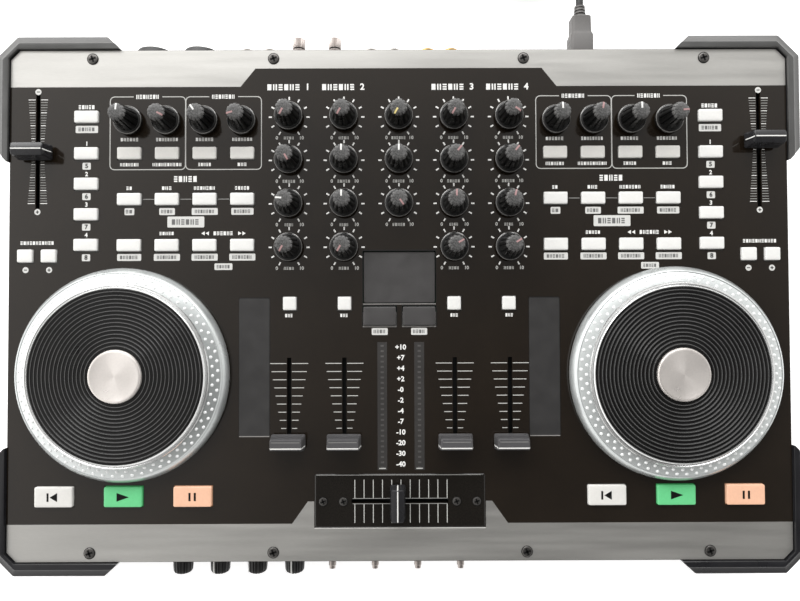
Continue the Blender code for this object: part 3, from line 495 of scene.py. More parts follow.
def make_lead():
    curve = bpy.data.curves.new("usb_lead", "CURVE")
    curve.dimensions = "3D"
    curve.bevel_depth = CORD_DIAMETER / 2 * MM
    curve.bevel_resolution = 4
    curve.use_fill_caps = True
    points = lead_route()
    spline = curve.splines.new("POLY")
    spline.points.add(len(points) - 1)
    for point, place in zip(spline.points, points):
        point.co = (*(Vector(place) * MM), 1.0)
    curve.materials.append(CORD)
    cord = add_object("usb_lead", curve)
    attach(cord, HOUSING)
    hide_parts("usb_cord", "usb_cord_coil")

    rear = Shape(facing_rear(USB_X, EDGE_Y, REAR_Z))
    rear.loft([rounded(3.9, 3.7, 0.8, z) for z in (-5.0, 1.4)], NICKEL)
    body = [(6.3, 5.5, 1.2), (6.8, 6.0, 1.8), (6.8, 6.0, 16.6), (6.4, 5.6, 17.6), (5.9, 5.2, 19.0),
            (5.7, 5.1, 28.2), (5.0, 4.6, 28.9), (4.0, 4.0, 29.2)]
    rear.loft([rounded(hx, hy, 1.6, z) for hx, hy, z in body], PLUG)
    for side in (-1, 1):
        for step in range(4):
            y = 5.0 + 2.6 * step
            rear.box((side * 5.6 - 1.3, -3.2, y), (side * 5.6 + 1.3, 3.2, y + 1.1), PLUG)
    relief = [(3.6, 29.0), (3.4, 30.0)]
    for rib in range(3):
        z = 30.2 + 1.9 * rib
        relief += [(2.7, z), (2.7, z + 0.7), (3.5 - 0.15 * rib, z + 0.8), (3.4 - 0.15 * rib, z + 1.8)]
    relief += [(2.5, 36.1)]
    rear.turned(relief, 24, PLUG)
    plug_b = piece("usb_plug_rear", rear, HOUSING, ["usb_plug_b"])

    _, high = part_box("usb_plug_a")
    start = (high.x / MM, COIL_Y + COIL_RADIUS, 4.1)
    far = Shape(Matrix.Translation(start) @ spin(-90, "Y") @ spin(90))
    ribs = [(2.7, 0.0)]
    for rib in range(4):
        z = 0.6 + 2.2 * rib
        ribs += [(2.9, z), (2.9, z + 0.8), (3.5, z + 0.9), (3.5, z + 2.0)]
    far.turned(ribs + [(3.4, 10.4)], 24, PLUG)
    body = [(6.6, 3.4, 10.2), (7.4, 4.0, 11.2), (7.8, 4.1, 13.0), (7.2, 4.1, 22.0), (7.8, 4.1, 31.0),
            (7.8, 4.1, 33.4), (7.2, 3.6, 34.0)]
    far.loft([rounded(hx, hy, 1.8, z) for hx, hy, z in body], PLUG)
    far.loft([rounded(6.0, 2.25, 0.3, z) for z in (33.8, 45.7)], NICKEL)
    for x in (-2.6, 2.6):
        for side in (-1, 1):
            far.box((x - 1.1, side * 2.2 - 0.12, 39.0), (x + 1.1, side * 2.2 + 0.12, 41.4), INK_AND_RECESS_SHADE)
    plug_a = piece("usb_plug_far", far, HOUSING, ["usb_plug_a"])


# --- case


def make_bands():
    bands = Shape()
    edge_x, edge_y, cut = EDGE_X - 0.2, EDGE_Y - 0.2, 5.4
    low, high = PANEL - 0.02, PANEL + 0.09
    rear = [(-edge_x, 125.3), (-91.3, 125.3), (-82.7, 135.9), (82.7, 135.9), (91.3, 125.3),
            (edge_x, 125.3), (edge_x, edge_y - cut), (edge_x - cut, edge_y), (-edge_x + cut, edge_y),
            (-edge_x, edge_y - cut)]
    bands.prism(rear, low, high, SILVER)
    front = [(edge_x, -125.4), (61.5, -125.4), (52.5, -112.8), (48.9, -112.8), (48.9, -127.8),
             (-48.9, -127.8), (-48.9, -112.8), (-52.5, -112.8), (-61.5, -125.4), (-edge_x, -125.4),
             (-edge_x, -edge_y + cut), (-edge_x + cut, -edge_y), (edge_x - cut, -edge_y),
             (edge_x, -edge_y + cut)]
    bands.prism(front, low, high, SILVER)
    piece("silver_bands", bands, HOUSING)


def add_screw(shape, x, y, radius, place=None, base=PANEL):
    """A pan-head screw with its cross recess shown as a dark inlay of painted shade."""
    at = (place or Matrix.Identity(4)) @ Matrix.Translation((x, y, base))
    shape.turned([(radius, -0.1), (radius, 0.3), (radius * 0.9, 0.45)], 32, INK_AND_RECESS_SHADE, at)
    head = [(radius * 0.9, 0.4), (radius * 0.84, 0.6), (radius * 0.7, 0.72), (radius * 0.4, 0.78)]
    shape.turned(head, 32, SCREW, at)
    # The cross recess is a dark inlay on the head: painted shade, not a cut.
    for turn in (0, 90):
        spun = at @ spin(turn + 20)
        shape.box((-radius * 0.6, -radius * 0.17, 0.6), (radius * 0.6, radius * 0.17, 0.8), INK_AND_RECESS_SHADE, spun)


def make_screws():
    screws = Shape()
    for y in (141.6, -141.6):
        for x in (-176.6, -72.2, 72.2, 176.6):
            add_screw(screws, x, y, 3.3)
    for x in (-43.7, -32.2, 32.2, 43.7):
        add_screw(screws, x, -112.7, 2.6, base=PLATE_TOP)
    below = spin(180, "X")
    for y in (-110, 0, 110):
        for x in (-170, -60, 60, 170):
            add_screw(screws, x, -y, 2.8, below, base=-3.0)
    for x in (-135.0, -110.5, -30.0, 45.0, 90.0):
        drop = -34.0 if abs(x) > 100 else -16.0
        add_screw(screws, x, drop, 1.6, facing_rear(0, 0, 0), base=EDGE_Y)
    piece("screws", screws, HOUSING)


def bumper_outline(side, end, proud, gap, z):
    arm_x, arm_y = EDGE_X - 63.7, EDGE_Y - 65.2
    cut = 12.0 - (2 - math.sqrt(2)) * (8.0 - proud)
    slant = 7.3 * (proud - gap) / 7.1
    corner = 5.5 - gap * (2 - math.sqrt(2))
    x, y = EDGE_X, EDGE_Y
    points = [(arm_x, y + gap), (x + gap - corner, y + gap), (x + gap, y + gap - corner),
              (x + gap, arm_y), (x + proud, arm_y + slant), (x + proud, y + proud - cut),
              (x + proud - cut, y + proud), (arm_x + slant, y + proud)]
    return filleted([(side * px, end * py, z) for px, py in points], 0.7, 2)


def make_bumpers():
    """Four corner bumpers with a rounded shoulder, a raised rib along the top and a foot below. The
    rear shoulders are painted lighter and the front ones darker: painted light and painted shade.
    """
    top, proud, gap = PANEL + 2.0, 8.0, 0.35
    levels = [(proud - 1.5, gap, 0.0), (proud - 0.5, gap, 0.4), (proud, gap, 1.5), (proud, gap, 17.0),
              (proud - 0.7, gap, 17.8), (proud - 0.7, gap, 19.4), (proud, gap, 20.2),
              (proud, gap, top - 2.6), (proud - 0.2, gap, top - 1.9), (proud - 0.7, gap, top - 1.4)]
    shoulder = [(proud - 0.7, gap, top - 1.4), (proud - 1.6, gap, top - 1.1),
                (proud - 3.9, gap, top - 0.4), (proud - 4.3, gap, top - 0.15),
                (proud - 4.5, gap + 0.2, top)]
    for end, end_name in ((1, "rear"), (-1, "front")):
        for side, side_name in ((-1, "left"), (1, "right")):
            bumper = Shape()
            bumper.loft([bumper_outline(side, end, *level) for level in levels], RUBBER)
            # The rear shoulders take the lighter copy and the front ones the darker copy: painted light
            # and painted shade.
            shoulder_light_and_shade = SLOPE_REAR_PAINTED_LIGHT if end > 0 else SLOPE_FRONT_PAINTED_SHADE
            bumper.loft([bumper_outline(side, end, *level) for level in shoulder], shoulder_light_and_shade)
            xs = span(0, side, EDGE_X - 26, EDGE_X + 1.8)
            ys = span(0, end, EDGE_Y - 26, EDGE_Y + 1.8)
            bumper.box((xs[0], ys[0], 0), (xs[1], ys[1], 2.7), RUBBER)
            name = f"bumper_{end_name}_{side_name}"
            piece(f"{name}_moulding", bumper, HOUSING, [name])


# --- sockets and touchpad

XLR_X = (-149.0, -120.6)
RCA_X = (-92.8, -79.2, -16.9, -2.9, 17.9, 32.2)
POST_X = (-60.5, -38.7)
TOUCHPAD = (0.0, 14.9)


def make_electronics():
    board = Shape()
    board.box((-206, -133, 36), (206, 129, 37.6), BOARD)
    front, wall = 126.7, 145.2
    for x in XLR_X:
        board.box((x - 11.6, front, 12.4), (x + 11.6, 141.4, 36.8), SOCKET)
    for first, last in zip(RCA_X[::2], RCA_X[1::2]):
        board.box((first - 6, front, 18), (last + 6, wall, 36.8), SOCKET)
    board.box((POST_X[0] - 6, front, 22), (POST_X[1] + 6, wall, 36.8), SOCKET)
    board.box((USB_X - 6.1, front, 18.4), (USB_X + 6.1, 140.6, 36.8), NICKEL)
    piece("main_board", board, HOUSING, ["circuit_board"])

    sliders = Shape()
    slides = [(x, -54.5, 6.5, 31.0) for x in CHANNEL_X]
    slides += [(side * PITCH_X, PITCH_Y, 7.5, 38.0) for side in (-1, 1)]
    slides.append((0.0, CROSSFADER_Y, 34.0, 6.5))
    for x, y, half_x, half_y in slides:
        sliders.box((x - half_x, y - half_y, 37.5), (x + half_x, y + half_y, 38.7), SOCKET)
        for way in (-1, 1):
            if half_x < half_y:
                near, far = span(x, way, half_x - 1, half_x)
                sliders.box((near, y - half_y, 38.6), (far, y + half_y, 41.5), SOCKET)
            else:
                near, far = span(y, way, half_y - 1, half_y)
                sliders.box((x - half_x, near, 38.6), (x + half_x, far, 41.5), SOCKET)
    piece("slider_bodies", sliders, HOUSING)

    sockets = Shape()
    for x in XLR_X:
        at = facing_rear(x, EDGE_Y, REAR_Z)
        sockets.washer([(10.3, -2.0), (10.3, 7.2), (10.0, 7.7), (9.2, 7.7), (8.6, 7.0), (8.6, -5.0),
                        (9.8, -5.0), (9.8, -2.0)], 48, SOCKET, at)
        sockets.turned([(8.6, -6.0), (8.6, -5.0)], 48, SOCKET, at)
        sockets.box((-1.3, -9.0, -5.0), (1.3, -8.0, 5.0), SOCKET, at)
        for turn in (90, 210, 330):
            pin = at @ spin(turn) @ Matrix.Translation((4.2, 0, 0))
            sockets.turned([(1.15, -5.2), (1.15, 3.6), (0.8, 4.4), (0.3, 4.8)], 12, NICKEL, pin)
    for number, x in enumerate(RCA_X):
        at = facing_rear(x, EDGE_Y, REAR_Z)
        plate = GOLD if number >= 4 else NICKEL
        sockets.turned([(4.1, -1.2), (4.1, 0.9), (3.9, 1.1)], 24, plate, at)
        shell = [(4.1, 1.0), (4.1, 8.6), (3.8, 9.0), (3.5, 9.0), (3.2, 8.7), (3.2, 1.0)]
        sockets.washer(shell, 24, plate, at)
        core = JACK_RED if number % 2 else JACK_WHITE
        sockets.washer([(3.1, 1.0), (3.1, 7.9), (1.5, 7.9), (1.5, 1.0)], 24, core, at)
        sockets.turned([(1.5, 1.0), (1.5, 3.0)], 16, INK_AND_RECESS_SHADE, at)
    for x in POST_X:
        at = facing_rear(x, EDGE_Y, 28.0)
        sockets.turned([(1.8, -1.2), (1.8, 4.2)], 20, NICKEL, at)
        sockets.turned([(3.4, 4.0), (3.8, 4.4), (3.8, 7.4)], 72, LEVER, at, 24, 0.3)
        sockets.turned([(3.0, 7.3), (3.0, 8.3)], 36, INK_AND_RECESS_SHADE, at)
        sockets.turned([(3.8, 8.2), (3.8, 13.6), (3.3, 14.2)], 72, LEVER, at, 24, 0.3)
    at = facing_rear(USB_X, EDGE_Y, REAR_Z)
    rings = []
    for (ox, oy, _), (ix, iy, _) in zip(rounded(5.9, 5.4, 0.6), rounded(4.5, 4.3, 0.3)):
        rings.append([(ox, oy, -6.0), (ox, oy, 0.3), (ix, iy, 0.3), (ix, iy, -6.0)])
    sockets.loft(rings, NICKEL, at, closed=True)
    piece("rear_sockets", sockets, HOUSING)

    pad = Shape()
    pad.pad(TOUCHPAD, (17.6, 11.8), 36.8, UNDERSIDE + 0.4, SOCKET, 1.0, 0.2)
    pad.pad(TOUCHPAD, (20.5, 14.65), UNDERSIDE + 0.3, PANEL - 0.8, PAD, 0.8, 0.15)
    piece("touchpad", pad, HOUSING)


# --- print on the faceplate

LOW, HIGH = PANEL - 0.03, PANEL + 0.06
CHANNEL_X = (-63.2, -31.6, 31.6, 63.2)
KNOB_ROWS = (107.6, 82.5, 57.4, 32.3)
DECK_COLUMNS = (90.1, 111.75, 133.4, 155.05)
NUMBER_X, NUMBER_ROWS = 179.8, (86.8, 69.2, 51.6, 34.0)
KEY_ROWS = (86.8, 60.25, 33.7)
FX_Y, SYNC_Y = 105.2, 107.9
PITCH_X, PITCH_Y = 207.9, 88.0
JOG_X, CROSSFADER_Y, TRANSPORT_Y = 157.2, -112.5, -109.5


def add_bars(shape, x, y, width, height, made=PRINT, high=HIGH):
    """Stands for a word: a row of plain bars of the word's width."""
    count = max(2, round(width / (height * 0.86)))
    pitch = width / count
    for i in range(count):
        left = x - width / 2 + i * pitch
        right = left + pitch * 0.72
        kind = (i * 7 + count) % 3
        stroke = (right - left) * 0.36
        bars = [[(left, right)], [(left, left + stroke), (right - stroke, right)], []][kind]
        for start, end in bars:
            shape.box((start, y - height / 2, LOW), (end, y + height / 2, high), made)
        for level in (-0.38, 0.0, 0.38) if kind == 2 else ():
            front, rear = y + height * (level - 0.12), y + height * (level + 0.12)
            shape.box((left, front, LOW), (right, rear, high), made)


def add_tag(shape, x, y, width, height):
    """A light tag with the bars of a word in grey ink."""
    shape.prism(rounded(width / 2, height / 2, 0.6, centre=(x, y), steps=3), LOW, HIGH, TAG)
    add_bars(shape, x, y, width * 0.76, height * 0.5, TAG_INK, HIGH + 0.03)


def deck_xs(side):
    return sorted(side * x for x in DECK_COLUMNS)


def add_arrow(shape, x, y, size, way, made=PRINT, low=LOW, high=HIGH):
    """A triangle that points right (1) or left (-1)."""
    back = x - way * size * 0.7
    shape.prism([(x + way * size, y), (back, y + way * size), (back, y - way * size)], low, high, made)


def print_effects(ink, side):
    """Two boxes round the effect knobs and their keys, with a heading over each."""
    rear, front = 119.6, 77.4
    for high, inner, outer in ((HIGH, 79.2, 122.8), (HIGH + 0.01, 123.0, 166.4)):
        left, right = span(0, side, inner, outer)
        middle = (left + right) / 2
        half_y, y = (rear - front) / 2, (rear + front) / 2
        outline = [(px, py) for px, py, _ in rounded((right - left) / 2, half_y, 2.5, 0, (middle, y))]
        corner = len(outline) // 4
        path = [(middle - 8.3, rear), *outline[corner:], *outline[:corner], (middle + 8.3, rear)]
        ink.ribbon(path, 0.5, LOW, high, SOFT_PRINT)
        add_bars(ink, middle, rear, 13.5, 2.4)
    for x, width, below in zip(deck_xs(side), (10.5, 12.9, 10.5, 11.9), (10.9, 17.0, 7.6, 5.6)):
        add_bars(ink, x, 94.8, width, 1.9)
        add_bars(ink, x, 80.3, below, 1.9)


def print_loops(ink, side):
    middle = side * 122.6
    xs = deck_xs(side)
    add_bars(ink, middle, 71.9, 13.9, 3.4)
    for x, width, tag in zip(xs, (3.5, 6.0, 12.5, 8.5), (5.6, 9.0, 15.0, 12.8)):
        add_bars(ink, x, 66.65, width, 2.0)
        add_tag(ink, x, 53.15, tag, 4.0)
    for left, right in zip(xs, xs[1:]):
        link = [(left + 7.6, KEY_ROWS[1]), (right - 7.6, KEY_ROWS[1])]
        ink.ribbon(link, 0.4, LOW, HIGH, FAINT_PRINT_AND_HIGHLIGHT)
    add_tag(ink, middle, 47.1, 21.2, 6.3)
    add_bars(ink, xs[1], 40.5, 8.6, 1.9)
    search = (xs[2] + xs[3]) / 2
    add_bars(ink, search, 40.5, 11.5, 2.2)
    for x, way in ((search - 9.2, -1), (search - 11.6, -1), (search + 9.2, 1), (search + 11.6, 1)):
        add_arrow(ink, x, 40.5, 1.15, way)
    for x, tag in zip(xs, (13.8, 15.0, 15.0, 15.0)):
        add_tag(ink, x, 26.8, tag, 4.0)
    add_tag(ink, search, 21.3, 10.3, 3.8)


def print_numbers(ink, side):
    """The column of numbered keys beside the pitch fader."""
    x = side * NUMBER_X
    add_bars(ink, x, 113.7, 9.6, 2.3)
    add_tag(ink, x, 100.8, 12.9, 4.2)
    for number, y in enumerate(NUMBER_ROWS, 1):
        ink.text(str(number), (x, y + 5.6), 2.4, PRINT, LOW, HIGH)
        ink.prism(rounded(2.4, 2.0, 0.6, centre=(x, y - 7.3), steps=3), LOW, HIGH, TAG)
        ink.text(str(number + 4), (x, y - 7.3), 2.5, INK_AND_RECESS_SHADE, LOW, HIGH + 0.03)
    add_bars(ink, side * 207.7, 35.2, 19.5, 2.0)
    for key_x, sign in ((200.9, -side), (214.4, side)):
        add_sign(ink, side * key_x, 19.7, sign)


def add_sign(shape, x, y, sign):
    """A light disc with a dark plus (1) or minus (-1) on it."""
    shape.turned([(1.75, LOW), (1.75, HIGH)], 24, TAG, Matrix.Translation((x, y, 0)))
    shape.box((x - 0.9, y - 0.25, LOW), (x + 0.9, y + 0.25, HIGH + 0.03), INK_AND_RECESS_SHADE)
    if sign > 0:
        shape.box((x - 0.25, y - 0.9, LOW), (x + 0.25, y + 0.9, HIGH + 0.035), INK_AND_RECESS_SHADE)


def add_ticks(shape, x, y, reach, half, made):
    """A tick to either side of a fader's slot."""
    for way in (-1, 1):
        near, far = span(x, way, 1.6, reach)
        shape.box((near, y - half, LOW), (far, y + half, HIGH), made)


def print_pitch(ink, side):
    x = side * PITCH_X
    for step in range(41):
        y = 118.0 - 1.5 * step
        reach = 3.2 + 2.4 * abs(step - 20) / 20
        add_ticks(ink, x, y, reach, 0.2, PRINT if step % 5 == 0 else FAINT_PRINT_AND_HIGHLIGHT)
    for y, sign in ((122.6, -1), (53.1, 1)):
        add_sign(ink, x, y, sign)


def print_dial(ink, x, y, label):
    """Eleven ticks from 0 to 10 round a knob."""
    for step in range(11):
        turn = math.radians(-150 + 30 * step)
        out = Vector((math.sin(turn), math.cos(turn)))
        ends = [Vector((x, y)) + out * reach for reach in (9.9, 11.8)]
        ink.ribbon(ends, 0.85, LOW, HIGH, PRINT)
    ink.text("0", (x - 7.1, y - 12.1), 1.9, SOFT_PRINT, LOW, HIGH)
    ink.text("10", (x + 7.1, y - 12.1), 1.9, SOFT_PRINT, LOW, HIGH)
    add_bars(ink, x, y - 12.1, label, 1.7, SOFT_PRINT)


def print_mixer(ink):
    for channel, x in enumerate(CHANNEL_X, 1):
        add_bars(ink, x - 2.9, 125.0, 19.4, 3.5)
        ink.text(str(channel), (x + 10.6, 125.0), 3.6, PRINT, LOW, HIGH)
        for y, label in zip(KNOB_ROWS, (6.1, 7.6, 5.2, 6.1)):
            print_dial(ink, x, y, label)
        for step in range(9):
            y = -34.35 - 4.625 * step
            reach = 10.9 - 6.3 * step / 8
            add_ticks(ink, x, y, reach, 0.22, SOFT_PRINT)
        add_bars(ink, x, -6.9, 4.6, 1.9)
    for y, label in zip(KNOB_ROWS, (8.4, 7.0, 7.6)):
        print_dial(ink, 0.0, y, label)
    for x in (-11.3, 11.3):
        add_tag(ink, x, -16.2, 9.2, 4.0)
    readings = ("+10", "+7", "+4", "+2", "-0", "-2", "-4", "-7", "-10", "-20", "-30", "-40")
    for step, reading in enumerate(readings):
        ink.text(reading, (0.6, -25.3 - 6.06 * step), 2.8, PRINT, LOW, HIGH)


def make_print():
    ink = Shape()
    for side in (-1, 1):
        print_effects(ink, side)
        print_loops(ink, side)
        print_numbers(ink, side)
        print_pitch(ink, side)
    print_mixer(ink)
    piece("panel_markings", ink, HOUSING)


def add_recess_rim(shape, centre, half):
    """A thin stepped rim round a sunk panel: a painted shadow along its rear and sides, and a brighter
    painted highlight along its front edge.
    """
    (x, y), (hx, hy) = centre, half
    shape.box((x - hx, y + hy, LOW), (x + hx, y + hy + 0.7, HIGH), RIM_DARK)
    shape.box((x - hx, y - hy - 0.5, LOW), (x + hx, y - hy, HIGH + 0.05), RIM_PAINTED_HIGHLIGHT)
    for side in (-1, 1):
        near, far = span(x, side, hx, hx + 0.35)
        shape.box((near, y - hy, LOW), (far, y + hy, HIGH), RIM_DARK)


def make_panel_details():
    """Touch strips, level meters, the crossfader's plate and the rims of the touchpad."""
    flat = Shape()
    for side in (-1, 1):
        centre = (side * 83.1, -36.45)
        flat.pad(centre, (8.6, 39.2), LOW, HIGH + 0.06, STRIP, 0.8, 0.06)
        add_recess_rim(flat, centre, (8.6, 39.2))
    for left, right in ((-12.7, -7.2), (8.4, 14.1)):
        flat.box((left, -95.2, LOW), (right, -22.3, HIGH), METER)
        middle = (left + right) / 2
        for step in range(24):
            y = -24.4 - 3.02 * step
            flat.box((middle - 0.9, y - 0.5, LOW), (middle + 0.9, y + 0.5, HIGH + 0.02), SEGMENT)
        flat.box((middle - 1.9, -94.6, LOW), (middle + 1.9, -94.0, HIGH + 0.03), SOFT_PRINT)
    add_recess_rim(flat, TOUCHPAD, (20.9, 15.1))
    for x in (-11.3, 11.3):
        add_recess_rim(flat, (x, -7.4), (9.7, 5.8))
    piece("touch_strips_and_meters", flat, HOUSING)

    plate = Shape()
    top, middle = PLATE_TOP, -112.35
    outer = rounded(48.45, 15.05, 0.8, 0, (0, middle))
    slot = rounded(27.6, 1.25, 0.6, 0, (0, CROSSFADER_Y))
    rings = []
    for (ox, oy, _), (ix, iy, _) in zip(outer, slot):
        ring = [(ox, oy, LOW), (ox, oy, top - 0.5)]
        for inset in (0.6, 0.15):
            x, y, _ = ring[-1]
            ring.append((x - math.copysign(inset, ox), y - math.copysign(inset, oy - middle), top))
        rings.append(ring + [(ix, iy, top), (ix, iy, LOW)])
    plate.loft(rings, PLATE, closed=True)
    low, high = top - 0.03, top + 0.05
    plate.box((-47.6, -97.95, low), (46.0, -97.65, high), FAINT_PRINT_AND_HIGHLIGHT)
    # A bright strip along the plate's front edge: a painted highlight.
    plate.box((-48.7, -128.2, LOW), (48.7, -127.75, PANEL + 0.14), PLATE_EDGE_PAINTED_HIGHLIGHT)
    for step in range(11):
        x = -25.7 + 5.25 * step
        plate.box((x - 0.22, -111.0, low), (x + 0.22, -100.4, high), SOFT_PRINT)
        plate.box((x - 0.22, -124.8, low), (x + 0.22, -114.0, high), SOFT_PRINT)
    for y in (-111.0, -114.0):
        plate.box((-26.9, y - 0.17, low), (26.9, y + 0.17, high + 0.01), FAINT_PRINT_AND_HIGHLIGHT)
    piece("crossfader_plate", plate, HOUSING)


# --- keys

KEY, BEND_KEY, PFL_KEY, PAD_KEY = (13.6, 6.9), (8.6, 7.4), (7.6, 7.6), (18.6, 10.8)
# Offset from the jog wheel's axis, kind, finish and slot
# The cue key takes the darker copy of the white silicone: painted shade.
TRANSPORT = ((-39.4, "cue", KEY_WHITE_PAINTED_SHADE, "key_white"), (0, "play", KEY_GREEN, "key_green"),
             (39.4, "pause", KEY_ORANGE, "key_orange"))


def make_keypads():
    """Silicone keys that stand up through the faceplate from one mat a side."""
    mat_low, mat_high, key_top = 42.6, 44.1, PANEL + 1.5
    for side, name in ((-1, "keypad_left"), (1, "keypad_right")):
        mat = Shape()

        def key(x, y, size, made):
            half = (size[0] / 2, size[1] / 2)
            mat.pad((side * x, y), half, mat_low + 0.7, key_top, made, 0.7, 0.45, 0.12)

        def web(x0, x1, y0, y1):
            left, right = span(0, side, x0, x1)
            mat.box((left, y0, mat_low), (right, y1, mat_high), KEY_WHITE_PAINTED_SHADE)

        key(NUMBER_X, SYNC_Y, KEY, KEY_WHITE)
        for y in NUMBER_ROWS:
            key(NUMBER_X, y, KEY, KEY_WHITE)
        for row, y in enumerate(KEY_ROWS):
            for x in DECK_COLUMNS:
                # The first row takes the darker copy of the white silicone: painted shade.
                key(x, y, KEY, KEY_WHITE_PAINTED_SHADE if row == 0 else KEY_WHITE)
            web(81.1, 171.0, y - 5.6, y + 5.6)
        web(170.8, 188.8, 28.2, 113.5)
        for x in (200.9, 214.4):
            key(x, 27.7, BEND_KEY, KEY_WHITE)
        web(188.6, 220.9, 21.8, 33.6)
        for x in (31.4, 62.8):
            key(x, 0.0, PFL_KEY, KEY_WHITE)
        key(11.3, -7.4, PAD_KEY, PAD)
        web(25.4, 81.1, -5.0, 6.0)
        web(1.5, 90.0, -13.4, -5.0)
        web(81.1, 90.1, -13.4, 28.2)
        piece(f"{name}_mat", mat, name, [name])


def make_transport_keys():
    for side, deck in ((-1, "left"), (1, "right")):
        for offset, kind, made, slot in TRANSPORT:
            centre = (side * JOG_X + offset, TRANSPORT_Y, PANEL)
            shape = Shape(Matrix.Translation(centre))
            shape.box((-12.0, -6.9, -3.1), (12.0, 6.9, -1.9), made)
            shape.pad((0, 0), (10.8, 5.7), -1.95, 1.9, made, 0.9, 0.5, 0.1)
            low, high = 1.8, 1.95
            if kind == "cue":
                shape.box((-3.6, -2.4, low), (-2.5, 2.4, high), INK_AND_RECESS_SHADE)
                add_arrow(shape, 0.6, 0.0, 2.5, -1, INK_AND_RECESS_SHADE, low, high)
            elif kind == "play":
                shape.prism([(-3.4, -2.4), (3.6, 0.0), (-3.4, 2.4)], low, high, INK_AND_RECESS_SHADE)
            else:
                for bar in (-1.5, 1.5):
                    shape.box((bar - 0.6, -2.3, low), (bar + 0.6, 2.3, high), INK_AND_RECESS_SHADE)
            node = f"{kind}_key_{deck}"
            piece(f"{node}_cap", shape, node, [node], centre)


# --- knobs

# Each knob's pointer at rest, in degrees clockwise from the rear, with the pointer's colour
CHANNEL_POINTERS = (
    ((-150, PINK), (150, PINK), (-85, WHITE), (-150, PINK)),
    ((-150, PINK), (0, WHITE), (0, WHITE), (-150, PINK)),
    ((-150, PINK), (40, PINK), (0, PINK), (60, PINK)),
    ((125, PINK), (40, PINK), (15, PINK), (57, PINK)),
)
CENTRE_POINTERS = (("master_level", -150, YELLOW), ("balance", 0, WHITE), ("booth_level", 147, PINK))
EFFECT_POINTERS = {"left": ((5, WHITE), (117, PINK), (-35, WHITE), (-105, PINK)),
                   "right": ((-2, WHITE), (10, PINK), (0, WHITE), (85, PINK))}


def knob_list():
    """(node, x, y, pointer angle, pointer finish) of every knob on the faceplate."""
    for channel, (x, pointers) in enumerate(zip(CHANNEL_X, CHANNEL_POINTERS), 1):
        for control, y, (angle, made) in zip(("gain", "treble", "mid", "bass"), KNOB_ROWS, pointers):
            yield f"channel_{channel}_{control}_knob", x, y, angle, made
    for (control, angle, made), y in zip(CENTRE_POINTERS, KNOB_ROWS):
        yield f"{control}_knob", 0.0, y, angle, made
    for side, deck in ((-1, "left"), (1, "right")):
        for number, (x, (angle, made)) in enumerate(zip(deck_xs(side), EFFECT_POINTERS[deck]), 1):
            yield f"{deck}_effect_knob_{number}", x, FX_Y, angle, made


def make_knobs():
    for node, x, y, angle, pointer in knob_list():
        turn = spin(-angle)
        knob = Shape(Matrix.Translation((x, y, PANEL)) @ turn)
        knob.turned([(3.0, -7.0), (3.0, 1.7)], 24, STEEL)
        skirt = [(7.6, 1.6), (8.1, 1.9), (8.2, 2.3), (8.2, 3.4), (8.0, 3.9), (7.5, 4.25), (6.8, 4.4)]
        knob.turned(skirt, 48, SKIRT)
        # A lighter ring on the skirt's outer edge: a painted highlight.
        knob.washer([(7.7, 3.9), (8.1, 3.6), (8.15, 3.8), (8.0, 4.1), (7.8, 4.2)], 48, SKIRT_EDGE_PAINTED_HIGHLIGHT)
        side = [(6.7, 4.3), (6.6, 4.9), (6.2, 7.5), (5.6, 11.5), (5.1, 15.0), (4.75, 17.2)]
        knob.turned(side, 72, GRIP, flutes=12, depth=0.75)
        # The top is a lighter grey than the body: a painted highlight on the dome, with its mottled
        # texture.
        top = [(4.85, 16.6), (4.75, 17.3), (4.5, 17.9), (4.1, 18.25), (3.4, 18.4), (1.6, 18.5)]
        knob.turned(top, 72, GRIP_TOP_PAINTED_HIGHLIGHT, flutes=12, depth=0.5)
        rings = []
        for reach, height in ((1.0, 18.44), (3.4, 18.40), (4.2, 18.2), (4.5, 17.8), (4.95, 16.6),
                              (6.35, 7.6), (6.75, 5.0)):
            foot, crest = (reach - 0.35, height - 0.25), (reach + 0.12, height + 0.16)
            rings.append([(-0.48, *foot), (0.48, *foot), (0.48, *crest), (-0.48, *crest)])
        knob.loft(rings[:4], pointer)
        knob.loft(rings[3:], GRIP)
        piece(f"{node}_cap", knob, node, [node], (x, y, PANEL))


FRONT_KNOB_ANGLES = (-150, -26, -52, -12)


